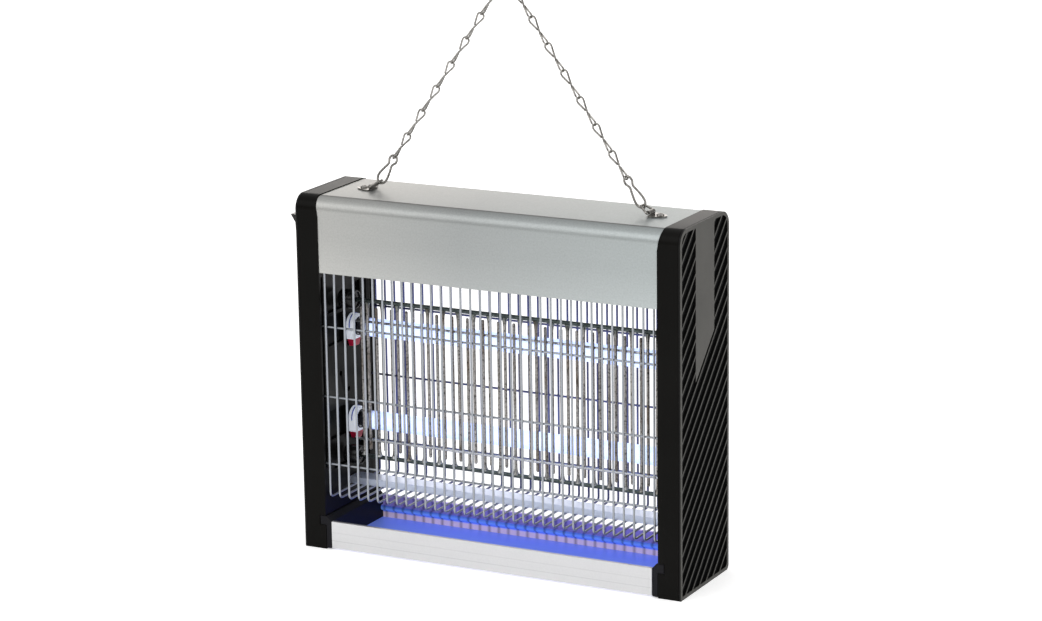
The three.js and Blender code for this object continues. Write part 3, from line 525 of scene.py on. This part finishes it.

# The cover is painted with light and shade: warmer at its left, darker across its middle and cooler
# at its right, a little lighter along its lower edge, and painted shade in a dark line along the
# fold.
cover_satin = satin_sheet("cover_satin", (0.54, 0.55, 0.55), 0.40, [
    ("X", -0.17, 0.17, [(0.0, (0.95, 0.93, 0.89)), (0.45, (0.76, 0.78, 0.775)),
                        (1.0, (0.87, 0.93, 0.93))]),
    ("Z", 0.236, 0.300, [(0.0, 1.08), (0.45, 0.95), (0.85, 0.95), (0.97, 0.86)]),
    ("Y", FOLD_Y - 0.009, FOLD_Y + 0.001, [(0.0, 1.0), (0.5, 0.80), (0.64, 0.66), (0.70, 0.30),
                                           (0.86, 0.30), (0.90, 1.0)])], speckle_tone=0.90)
# The crossbar's bluish tint is painted lamplight.
crossbar_mill = satin_sheet("crossbar_mill", (0.75, 0.82, 0.98), 0.36)
# The front rail has two lines of painted shade for shallow grooves, one at mid height and one above
# its foot.
front_rail_mill = satin_sheet("front_rail_mill", (0.70, 0.70, 0.705), 0.36, [
    ("Z", *heights("tray_front_rail"), [
        (0.0, 1.0), (0.26, 1.0), (0.28, 0.84), (0.31, 1.0), (0.56, 1.0), (0.59, 0.9),
        (0.62, 1.0), (1.0, 1.0)])])
# The rear rail's colours are painted lamplight: from its foot up a pinkish band, a bright blue bead
# and a purple band, with painted shadows of the guard wires across them and a painted glow.
rear_rail_mill = satin_sheet("rear_rail_mill", (0.95, 0.95, 0.95), 0.4, [
    ("Z", *heights("tray_rear_rail"), [
        (0.0, (0.8, 0.62, 0.70)), (0.30, (0.8, 0.62, 0.70)), (0.36, (0.10, 0.24, 1)),
        (0.50, (0.22, 0.42, 1)), (0.58, (0.08, 0.18, 0.8)), (0.64, (0.26, 0.20, 0.52)),
        (1, (0.32, 0.26, 0.60))])],
    glow=0.36, lit_side=True,
    repeat=("X", GUARD_PITCH / 1000, [(0.25, 1.0), (0.5, 0.45), (0.75, 1.0)]))
# The floor sheet's blue and its glow are painted lamplight.
tray_sheet = satin_sheet("tray_sheet", (0.19, 0.29, 0.92), 0.45, glow=0.3)
housing_black = moulded_black("housing_black", (0.0045, 0.0043, 0.0038), 0.3)
panel_black = louvre_black("panel_black")
tray_end_black = moulded_black("tray_end_black", (0.012, 0.012, 0.014), 0.35)
boss_black = glossy_plastic("boss_black", (0.008, 0.008, 0.008), 0.22)
# The rear wires' violet is painted lamplight.
guard_zinc = guard_wire_zinc("guard_zinc", (0.35, 0.37, 0.40), (0.14, 0.15, 0.30))
rail_zinc = plated_wire("rail_zinc", (0.13, 0.16, 0.155), 0.34, 0.45)
inner_zinc = plated_wire("inner_zinc", (0.72, 0.74, 0.78), 0.26)
chain_zinc = plated_wire("chain_zinc", (0.42, 0.405, 0.38), 0.2, 0.5)
# The hanging rods' dark tone under the upper rail is painted shade.
hung_rod_steel = scorched_rod("hung_rod_steel", (0.50, 0.475, 0.45),
                              (UPPER_RAIL_Z, UPPER_RAIL_Z - 0.009), (0.30, 0.38, 0.36))
# The standing rods are made lighter and bluer just above the lower rail.
standing_rod_steel = scorched_rod("standing_rod_steel", (0.52, 0.50, 0.475),
                                  (LOWER_RAIL_Z, LOWER_RAIL_Z + 0.007), (1.35, 1.45, 1.5))
chassis_zinc = plated_wire("chassis_zinc", (0.52, 0.53, 0.53), 0.4)
# The holders' glow is painted lamplight.
holder_white = glossy_plastic("holder_white", (0.86, 0.88, 0.94), 0.3, glow=0.28)
clip_red = glossy_plastic("clip_red", (0.50, 0.012, 0.05), 0.3)
seam_blue = glossy_plastic("seam_blue", (0.05, 0.09, 0.50), 0.3)
tube_glow = lit_glass("tube_glow")
tube_cap_metal = plated_wire("tube_cap_metal", (0.12, 0.12, 0.15), 0.28)
board_green = circuit_board_green("board_green")
winding_copper = wound_copper("winding_copper")


# ---- Housings and cover ------------------------------------------------------------------------

def make_cover():
    """The bent sheet: straight aprons, quarter-circle bends and a flat top, carried along X.

    The aprons reach the housings' inner walls. The bends widen evenly to the full width.
    """
    low, high = span("top_cover")

    def face(inset, foot):
        """One face of the sheet, from the front apron's foot over the top to the rear one's."""
        front, rear, top = low[1] + inset, high[1] - inset, high[2] - inset
        front_radius, rear_radius = FRONT_BEND_RADIUS - inset, REAR_BEND_RADIUS - inset
        front_bend = arc((front + front_radius, top - front_radius), front_radius, math.pi,
                         QUARTER, 14)
        rear_bend = arc((rear - rear_radius, top - rear_radius), rear_radius, QUARTER, 0, 14)
        return np.concatenate([[(front, foot)], front_bend, rear_bend, [(rear, foot)]])

    outline = np.concatenate([face(0, low[2] + 0.2), face(SHEET_THICKNESS, low[2] + 0.1)[::-1]])
    widening = np.clip((outline[:, 1] - WIDENING_Z) / WIDENING_HEIGHT, 0, 1)
    narrow = WALL_X - TOUCH_GAP
    reach = narrow + (high[0] - narrow) * widening
    rows = [np.column_stack([reach * side, outline]) for side in (-1, -0.999, 0.999, 1)]
    piece("bent_cover", [skin(np.stack(rows))], cover_satin,
          nodes=["top_cover"], angle=40)


make_cover()
softened_copy("chassis_plate", chassis_zinc, bevel=0.15)
softened_copy("lower_crossbar", crossbar_mill, bevel=0.25)
for label, _ in SIDES:
    softened_copy(f"{label}_end_housing", housing_black, bevel=0.45)
    panel = softened_copy(f"{label}_louvre_panel", panel_black, bevel=0.25)
    panel.modifiers.new("even_shading", "WEIGHTED_NORMAL").keep_sharp = True


# ---- Guard -------------------------------------------------------------------------------------

GUARD_RADIUS = 0.9
GUARD_COUNT = 34
GUARD_BEND = 4.0
# A wire's axis lies this far inside the guard's box, and a cross wire this far inside the others.
AXIS_INSET = 0.8
CROSS_INSET = 1.5
CROSS_WIRE_Z = (73.5, 131.2, 190.7)
guard_front, guard_rear = guard_low[1] + AXIS_INSET, guard_high[1] - AXIS_INSET


def guard_wire_path(x):
    """Down the front, a quarter circle, back under the chamber, a quarter circle, up the rear."""
    floor, top = guard_low[2] + AXIS_INSET, guard_high[2]
    bend_z = floor + GUARD_BEND
    down = np.stack([np.full(8, guard_front), np.linspace(top, bend_z, 8)], axis=1)
    front_bend = arc((guard_front + GUARD_BEND, bend_z), GUARD_BEND, math.pi, 3 * QUARTER, 7)
    rear_bend = arc((guard_rear - GUARD_BEND, bend_z), GUARD_BEND, 3 * QUARTER, TAU, 7)
    up = np.stack([np.full(8, guard_rear), np.linspace(bend_z, top, 8)], axis=1)
    route = np.concatenate([down, front_bend[1:], rear_bend, up[1:]])
    return np.column_stack([np.full(len(route), x), route])


def make_guard():
    """Upright wires at an even pitch, and cross wires along X inside them at front and rear."""
    places = (np.arange(GUARD_COUNT) - (GUARD_COUNT - 1) / 2) * GUARD_PITCH
    skins = [wire(guard_wire_path(x), GUARD_RADIUS, 10, beside=(1, 0, 0)) for x in places]
    for z in CROSS_WIRE_Z:
        for y in (guard_front + CROSS_INSET, guard_rear - CROSS_INSET):
            route = np.array([[x, y, z] for x in (guard_low[0] + 1, 0, guard_high[0] - 1)])
            skins.append(wire(route, GUARD_RADIUS, 10))
    piece("guard_wires", skins, guard_zinc, nodes=["guard_grille"])


make_guard()


# ---- Electrodes --------------------------------------------------------------------------------

ROD_PITCH = 14.2
ROD_RADIUS = 1.3
THICK_RAIL = 1.8
TIE_RAIL = 1.1
# Where the rails' paths end: the thick ones in the insulators, the tie rails free at the left and
# short of their far ends at the right, which leaves room for a round end.
THICK_RAIL_END = WALL_X - 6.7
TIE_LEFT_X = -141
TIE_SHORT = 1.2
# How deep a rod sinks into the thick rail and into the tie rail.
RAIL_SINK = THICK_RAIL * 0.13
TIE_SINK = 0.5
# For each comb: the rods, the weld's flare and reach, the tie rail's side and its distance from
# the rods' tips, and the way from the tips to the thick rail.
COMBS = {"upper": (19, 1.7, 3.6, -1, 9.3, 1), "lower": (20, 2.3, 2.4, 1, 13.3, -1)}


def comb_rod(x, y, weld_z, tip_z, flare, reach):
    """A rod with a rounded tip that swells at its weld.

    Its radius is the rod's own + flare exp(-(distance from the weld / reach)^1.3).
    """
    along = 1 if tip_z > weld_z else -1
    length = abs(tip_z - weld_z)
    distance = np.concatenate([[0.9, 1.4, 2, 2.8, 3.8, 5, 6.6, 9, 13, 60],
                               length - np.array([1.3, 0.7, 0.25, 0])])
    width = ROD_RADIUS + flare * np.exp(-(distance / reach) ** 1.3)
    width[-3:] *= (0.89, 0.6, 0.12)
    route = np.column_stack([np.full(len(distance), x), np.full(len(distance), y),
                             weld_z + along * distance])
    return wire(route, width, 12, beside=(1, 0, 0), round_ends=False)


def straight(start_x, end_x, y, z):
    """A path along X."""
    return np.array([[start_x, y, z], [0, y, z], [end_x, y, z]])


def make_comb(level):
    """A comb of rods: a thick rail, the rods on it and a tie rail across them near their tips."""
    node = f"{level}_electrode"
    count, flare, reach, tie_side, tie_distance, up = COMBS[level]
    low, high = span(node)
    rail_z = high[2] - THICK_RAIL if up > 0 else low[2] + THICK_RAIL
    tip_z = low[2] if up > 0 else high[2]
    rod_y = (high if tie_side < 0 else low)[1] + tie_side * (THICK_RAIL - RAIL_SINK)
    tie_y = rod_y + tie_side * (TIE_RAIL + ROD_RADIUS - TIE_SINK)
    rail = straight(-THICK_RAIL_END, THICK_RAIL_END, rod_y, rail_z)
    tie = straight(TIE_LEFT_X, high[0] - TIE_SHORT, tie_y, tip_z + up * tie_distance)
    piece(f"{level}_thick_rail", [wire(rail, THICK_RAIL, 16)], rail_zinc,
          nodes=[node])
    piece(f"{level}_tie_rail", [wire(tie, TIE_RAIL, 12)], inner_zinc, nodes=[node])
    places = (np.arange(count) - (count - 1) / 2) * ROD_PITCH
    rods = [comb_rod(x, rod_y, rail_z, tip_z, flare, reach) for x in places]
    finish = hung_rod_steel if up > 0 else standing_rod_steel
    piece(f"{level}_comb_rods", rods, finish, nodes=[node])


for level in LEVELS:
    make_comb(level)


def make_insulator(node):
    """A turned boss: a stepped body, a rolled rim round a dished face and a hub with a socket."""
    low, high = span(node)
    radius = (high[2] - low[2]) / 2
    centre = np.array([0, (low[1] + high[1]) / 2, (low[2] + high[2]) / 2])
    inward = -1 if low[0] > 0 else 1
    wall = high[0] if inward < 0 else low[0]
    length = high[0] - low[0]
    hub = radius * 0.42
    bore = radius * 0.29
    profile = np.array([[0, 0.2], [0, radius * 0.9], [length * 0.25, radius * 0.9],
                        [length * 0.3, radius], [length - 0.7, radius],
                        [length - 0.2, radius - 0.25], [length, radius - 0.7],
                        [length - 0.2, radius - 1.2], [length - 1.3, radius - 1.5],
                        [length - 1.6, hub + 0.5], [length - 1.2, hub], [length - 0.3, hub - 0.2],
                        [length - 0.3, bore], [length * 0.5, bore], [length * 0.5, 0.2]])
    profile[:, 0] = wall + inward * profile[:, 0]
    piece(f"{node}_turned", [turned(profile, centre)], boss_black, nodes=[node],
          angle=30)


for level in LEVELS:
    for label, _ in SIDES:
        make_insulator(f"{level}_insulator_{label}")


# ---- Lamps -------------------------------------------------------------------------------------

TUBE_RADIUS = 7.75
PIN_RADIUS = 1.15
PIN_OFFSET = 2.375
# A cap from its inner end outwards: place along the tube and radius, with two crimped rings.
CAP_PROFILE = [(0, 7.0), (0.1, 7.85), (0.5, 8.05), (1.2, 8.05), (1.5, 7.75), (2.0, 7.75),
               (2.3, 8.05), (4.4, 7.9), (4.8, 7.4), (5.0, 5.2), (7.5, 5.0), (7.5, 0.3)]
# Places along a pin, out from its cap's inner end.
PIN_REACH = (7, 10, 13.6)


def make_lamp(level):
    """The tube, its two crimped caps with their pins, and the rotors that hold the pins."""
    centre = lamp_axis[level] * (0, 1, 1)
    body = f"{level}_tube"
    low, high = span(f"{level}_tube_glass")
    glass = [(low[0], TUBE_RADIUS - 0.9), (low[0], TUBE_RADIUS - 0.3), (low[0] + 0.4, TUBE_RADIUS)]
    glass += [(place, TUBE_RADIUS) for place in np.linspace(low[0] + 4, high[0] - 4, 6)]
    glass += [(high[0] - 0.4, TUBE_RADIUS), (high[0], TUBE_RADIUS - 0.3),
              (high[0], TUBE_RADIUS - 0.9)]
    piece(f"{level}_lit_tube", [turned(glass, centre)], tube_glow, body,
          [f"{level}_tube_glass"])
    for label, side in SIDES:
        cap_low, cap_high = span(f"{level}_tube_cap_{label}")
        inner = cap_low[0] if side > 0 else cap_high[0]
        cap = np.array(CAP_PROFILE)
        cap[:, 0] = inner + side * cap[:, 0]
        skins = [turned(cap, centre)]
        for z in (centre[2] - PIN_OFFSET, centre[2] + PIN_OFFSET):
            pin = np.array([[inner + side * reach, centre[1], z] for reach in PIN_REACH])
            skins.append(wire(pin, PIN_RADIUS, 12))
        piece(f"{level}_crimped_cap_{label}", skins, tube_cap_metal, body,
              [f"{level}_tube_cap_{label}"])
        softened_copy(f"{level}_rotor_{label}", boss_black, body, 0.25)


HOLDER_RADIUS = 9
HOLDER_CORNER = 1.6
DOME_RISE = 1.5
HOLDER_DROP = 10.3
# Radius and depth of the circles down the rotor's well.
WELL_ROWS = ((7.1, 0.0), (6.8, 0.25), (6.75, 3.25), (0.6, 3.3))
SEAM_DEPTH = 4.2
SEAM_PAST = 0.15
RIM_RADIUS = 7.4


def holder_face(inset):
    """The holder's outline: a half circle over a square body, drawn in by the inset."""
    dome = arc((0, DOME_RISE), HOLDER_RADIUS - inset, 0, math.pi, 22)
    corner_y = HOLDER_RADIUS - inset - HOLDER_CORNER
    corner_z = -HOLDER_DROP + inset + HOLDER_CORNER
    left = arc((-corner_y, corner_z), HOLDER_CORNER, math.pi, 3 * QUARTER, 5)
    right = arc((corner_y, corner_z), HOLDER_CORNER, 3 * QUARTER, TAU, 5)
    return np.concatenate([dome, left, right])


def make_holder(level, label, side):
    """The lampholder: outlines from back to face, then circles down the rotor's well.

    A coloured seam runs over the dome, and a dark rim goes round the well.
    """
    node = f"{level}_lampholder_{label}"
    low, high = span(node)
    face_x = low[0] if side > 0 else high[0]
    back_x = high[0] if side > 0 else low[0]
    centre = lamp_axis[level]
    rows = []
    for x, inset in ((back_x, 0.5), (back_x - side * 0.4, 0.0), (face_x + side * 1.0, 0.0),
                     (face_x + side * 0.3, 0.3), (face_x, 1.0)):
        outline = holder_face(inset) + centre[1:]
        rows.append(np.column_stack([np.full(len(outline), x), outline]))
    count = len(rows[0])
    angle = np.arctan2(rows[-1][:, 2] - centre[2], rows[-1][:, 1] - centre[1])
    for radius, depth in WELL_ROWS:
        rows.append(np.column_stack([np.full(count, face_x + side * depth),
                                     centre[1] + radius * np.cos(angle),
                                     centre[2] + radius * np.sin(angle)]))
    piece(f"{node}_moulded", [skin(np.stack(rows))], holder_white,
          nodes=[node], angle=50)
    seam = arc((centre[1], centre[2] + DOME_RISE), HOLDER_RADIUS, -SEAM_PAST,
               math.pi + SEAM_PAST, 30)
    route = np.column_stack([np.full(len(seam), face_x + side * SEAM_DEPTH), seam])
    piece(f"{node}_seam", [wire(route, 0.5, 8, beside=(1, 0, 0))], seam_blue)
    rim = arc(centre[1:], RIM_RADIUS, 0, TAU * 47 / 48, 48)
    route = np.column_stack([np.full(48, face_x), rim])
    piece(f"{node}_rim", [wire(route, 0.6, 10, loop=True, beside=(1, 0, 0))], boss_black)


for level in LEVELS:
    make_lamp(level)
    for label, side in SIDES:
        make_holder(level, label, side)
        softened_copy(f"{level}_lamp_clip_{label}", clip_red, bevel=0.8)


# ---- Tray --------------------------------------------------------------------------------------

softened_copy("tray_front_rail", front_rail_mill, "tray", 0.25)
softened_copy("tray_rear_rail", rear_rail_mill, "tray", 0.25)
softened_copy("tray_floor", tray_sheet, "tray", 0.1)
for label, _ in SIDES:
    softened_copy(f"tray_end_{label}", tray_end_black, "tray", 0.5)


# ---- Switch, gland and electrical parts --------------------------------------------------------

softened_copy("switch_bezel", boss_black, bevel=0.4)
softened_copy("switch_rocker", boss_black, "switch_rocker", 0.4)
softened_copy("cord_gland", boss_black, bevel=0.5)
softened_copy("circuit_board", board_green, bevel=0.1)
softened_copy("high_voltage_transformer", winding_copper, bevel=0.6)
softened_copy("lamp_ballast", chassis_zinc, bevel=0.8)
softened_copy("storage_capacitor", boss_black, bevel=0.5)
# The terminal block shares the holders' white and its painted glow.
softened_copy("terminal_block", holder_white, bevel=0.4)


# ---- Hanging gear ------------------------------------------------------------------------------

LINK_RADIUS = 0.8
LINK_WIDTH = 6.9
LINK_COUNT = 7
LINK_OVERLAP = 0.48
CONNECTOR_END = 24.3
STOUT_WIRE = 0.95
RING_WIRE = 1.0
RING_RADIUS = 6.6
# The last link goes this far past the end ring's foot.
RING_HOLD = 2.0
RIVET_RADIUS = 3.2
FRONT_TO_REAR = np.array([0.0, 1.0, 0.0])


class ChainLine:
    """A taut chain's own axes: along it, across it in the XZ plane, and Y."""

    def __init__(self, label):
        self.start = joint_place(f"{label}_chain_swing")
        low, high = span(f"{label}_end_ring")
        ring = np.array([(low[0] + high[0]) / 2, 0, low[2] + RING_WIRE])
        reach = ring - self.start
        length = np.linalg.norm(reach)
        self.along = reach / length
        self.length = length + RING_HOLD
        self.across = np.array([self.along[2], 0, -self.along[0]])
        self.depth = FRONT_TO_REAR

    def place(self, s, w, angle):
        """s along the chain and w sideways, in a plane turned by the angle about the chain."""
        s, w, angle = np.broadcast_arrays(s, w, angle)
        sideways = np.cos(angle)[:, None] * self.across + np.sin(angle)[:, None] * self.depth
        return self.start + s[:, None] * self.along + w[:, None] * sideways

    def normal(self, angle):
        """The direction square to the turned plane."""
        return -np.sin(angle)[:, None] * self.across + np.cos(angle)[:, None] * self.depth


def twisted_link(line, start, pitch):
    """Two loops at right angles with a waist between them.

    With a going round the link: s = pitch/2 - (pitch/2 + overlap) cos a, and
    w = width sin a (0.12 + 0.88 cos^2 a). The plane turns a quarter over the waist, by
    t^2 (3 - 2t) of it as t goes from 0 to 1.
    """
    a = QUARTER + np.linspace(0.10, TAU - 0.10, 72)
    s = pitch / 2 - (pitch / 2 + LINK_OVERLAP) * np.cos(a)
    w = LINK_WIDTH * np.sin(a) * (0.12 + 0.88 * np.cos(a) ** 2)
    share = np.clip((s / pitch - 0.36) / 0.28, 0, 1)
    angle = QUARTER + share ** 2 * (3 - 2 * share) * QUARTER
    return wire(line.place(start + s, w, angle), LINK_RADIUS, 10, beside=line.normal(angle))


def smooth_route(points, count):
    """A smooth curve through the given points.

    Each stretch is a cubic that leaves a point along the line between its two neighbours.
    """
    points = np.asarray(points, float)
    padded = np.concatenate([2 * points[:1] - points[1:2], points,
                             2 * points[-1:] - points[-2:-1]])
    place = np.linspace(0, len(points) - 1, count)
    index = np.minimum(place.astype(int), len(points) - 2)
    t = (place - index)[:, None]
    p0, p1, p2, p3 = (padded[index + k] for k in range(4))
    return 0.5 * (2 * p1 + (p2 - p0) * t + (2 * p0 - 5 * p1 + 4 * p2 - p3) * t ** 2
                  + (3 * p1 - p0 - 3 * p2 + p3) * t ** 3)


# The bent connecting link from one wire end round to the other: across and along the chain.
CONNECTOR_OUTLINE = [(3.2, 10.4), (4.0, 5.2), (3.5, 0.8), (0, -2.3), (-3.5, 0.8), (-4.1, 5.2),
                     (-2.9, 11.5), (-1.7, 17.2), (-3.3, 21.2), (-2.6, 24.8), (0, 26.1),
                     (2.6, 24.8), (3.3, 21.2), (1.7, 17.2), (2.9, 11.8)]


def make_hanging_gear(label):
    """One side's bracket, rivet, bail, connecting link, chain and end ring."""
    line = ChainLine(label)
    body = f"{label}_chain"
    outline = smooth_route(CONNECTOR_OUTLINE, 90)
    route = line.place(outline[:, 1], outline[:, 0], 0.0)
    piece(f"{label}_bent_connector", [wire(route, STOUT_WIRE, 12, beside=FRONT_TO_REAR)],
          chain_zinc, body, [f"{label}_connecting_link"])
    pitch = (line.length - CONNECTOR_END) / LINK_COUNT
    for index in range(LINK_COUNT):
        link = twisted_link(line, CONNECTOR_END + index * pitch, pitch)
        piece(f"{label}_link_{index + 1}", [link], chain_zinc, body,
              [f"{label}_chain"])
    low, high = span(f"{label}_end_ring")
    angle = np.linspace(0, TAU, 48, endpoint=False)
    middle = (low + high) / 2
    ring = np.column_stack([np.full(48, middle[0]), RING_RADIUS * np.cos(angle),
                            middle[2] + RING_RADIUS * np.sin(angle)])
    piece(f"{label}_round_ring", [wire(ring, RING_WIRE, 12, loop=True, beside=(1, 0, 0))],
          chain_zinc, body, [f"{label}_end_ring"])

    pivot = joint_place(f"{label}_bail_swing")
    lean = unit(line.start - pivot)
    reach = np.linalg.norm(line.start - pivot)
    corners = [(-0.4, 0), (-5.2, 0), (-6.5, 0.5), (-6.1, 2.2), (-3.6, reach - 1.4),
               (-2.6, reach - 0.1), (0, reach), (2.6, reach - 0.1), (3.6, reach - 1.4),
               (6.1, 2.2), (6.5, 0.5), (5.2, 0), (0.4, 0)]
    bend = smooth_route(corners, 80)
    route = pivot + bend[:, 1:] * lean + bend[:, :1] * FRONT_TO_REAR
    square = np.cross(lean, FRONT_TO_REAR)
    piece(f"{label}_bent_bail", [wire(route, STOUT_WIRE, 12, beside=square)], chain_zinc,
          f"{label}_bail", [f"{label}_bail"])

    softened_copy(f"{label}_hanger_bracket", chain_zinc, bevel=0.2)
    low, high = span(f"{label}_bracket_rivet")
    a = np.linspace(0, QUARTER, 9)
    head = np.column_stack([low[2] + (high[2] - low[2]) * np.sin(a),
                            RIVET_RADIUS * np.cos(a) + 0.02])
    centre = np.array([(low[0] + high[0]) / 2, 0, 0])
    piece(f"{label}_domed_rivet", [turned(head, centre, "z", 32)], chain_zinc,
          nodes=[f"{label}_bracket_rivet"])


for label, _ in SIDES:
    make_hanging_gear(label)


# ---- Studio ------------------------------------------------------------------------------------

FLOOR_HALF = 9.0


def make_floor():
    """A plain pale floor, square and flat, that throws back a little light of its own."""
    mesh = bpy.data.meshes.new("studio_floor")
    corners = [(x * FLOOR_HALF, y * FLOOR_HALF, 0) for x, y in ((-1, -1), (1, -1), (1, 1), (-1, 1))]
    mesh.from_pydata(corners, [], [(0, 1, 2, 3)])
    floor = bpy.data.objects.new("studio_floor", mesh)
    bpy.context.collection.objects.link(floor)
    pale = Finish("studio_pale", 0.9, 0.0, (0.94, 0.94, 0.94))
    pale.set("Emission Color", (1, 1, 1, 1)).set("Emission Strength", 0.42)
    floor.data.materials.append(pale.material)


def area_light(name, place, target, size, power, colour=(1, 1, 1)):
    """A square-cornered soft light turned to its target, in metres and watts."""
    light = bpy.data.lights.new(name, "AREA")
    light.shape = "RECTANGLE"
    light.size, light.size_y = size
    light.energy = power
    light.color = colour
    lamp = bpy.data.objects.new(name, light)
    towards = (Vector(target) - Vector(place)).to_track_quat("-Z", "Y").to_matrix().to_4x4()
    lamp.matrix_world = Matrix.Translation(Vector(place)) @ towards
    bpy.context.collection.objects.link(lamp)


def make_light():
    """A sky that pales with height, and three softboxes: front left, right and warm at the rear."""
    world = bpy.data.worlds.new("studio_sky")
    world.use_nodes = True
    tree = world.node_tree
    direction = tree.nodes.new("ShaderNodeTexCoord")
    split = tree.nodes.new("ShaderNodeSeparateXYZ")
    tree.links.new(direction.outputs["Generated"], split.inputs["Vector"])
    dome = tree.nodes.new("ShaderNodeValToRGB")
    tree.links.new(split.outputs["Z"], dome.inputs["Fac"])
    elements = dome.color_ramp.elements
    elements[0].position, elements[0].color = 0.0, (0.16, 0.15, 0.145, 1)
    elements[1].position, elements[1].color = 0.75, (1, 1, 1, 1)
    elements.new(0.3).color = (0.30, 0.29, 0.285, 1)
    background = tree.nodes["Background"]
    tree.links.new(dome.outputs["Color"], background.inputs["Color"])
    background.inputs["Strength"].default_value = 0.95
    bpy.context.scene.world = world
    bpy.context.scene.view_settings.view_transform = "Standard"
    area_light("front_softbox", (-1.4, -2.6, 2.2), (0, 0, 0.2), (2.6, 2.2), 26)
    area_light("right_softbox", (3.0, -0.6, 1.2), (0, 0, 0.15), (1.8, 1.8), 26)
    area_light("rear_softbox", (-1.45, 2.75, 1.0), (0, 0, 0.28), (3.0, 0.9), 17, (1, 0.96, 0.92))


# The camera's direction, roll and distance from its aim, its lens in millimetres and its shift.
AZIMUTH = 27.593
ELEVATION = 15.030
DISTANCE = 2.7956
LENS = 118.6
ROLL = -0.862
AIM = (MIDDLE[0] / 1000 + 0.0002, 0, 0.156)
SHIFT = (0.0087, 0.0615)


def make_camera():
    """Looks from the front right, a little from above, at the middle of the chamber."""
    turn, lift = math.radians(AZIMUTH), math.radians(ELEVATION)
    aim = Vector(AIM)
    back = Vector((math.cos(lift) * math.sin(turn), -math.cos(lift) * math.cos(turn),
                   math.sin(lift)))
    camera_data = bpy.data.cameras.new("front_right_camera")
    camera_data.sensor_width = 36.0
    camera_data.lens = LENS
    camera_data.shift_x, camera_data.shift_y = SHIFT
    camera_data.clip_end = 60
    camera = bpy.data.objects.new("front_right_camera", camera_data)
    turned_to = (-back).to_track_quat("-Z", "Y").to_matrix().to_4x4()
    roll = Matrix.Rotation(math.radians(ROLL), 4, "Z")
    camera.matrix_world = Matrix.Translation(aim + back * DISTANCE) @ turned_to @ roll
    bpy.context.collection.objects.link(camera)
    bpy.context.scene.camera = camera


make_floor()
make_light()
make_camera()
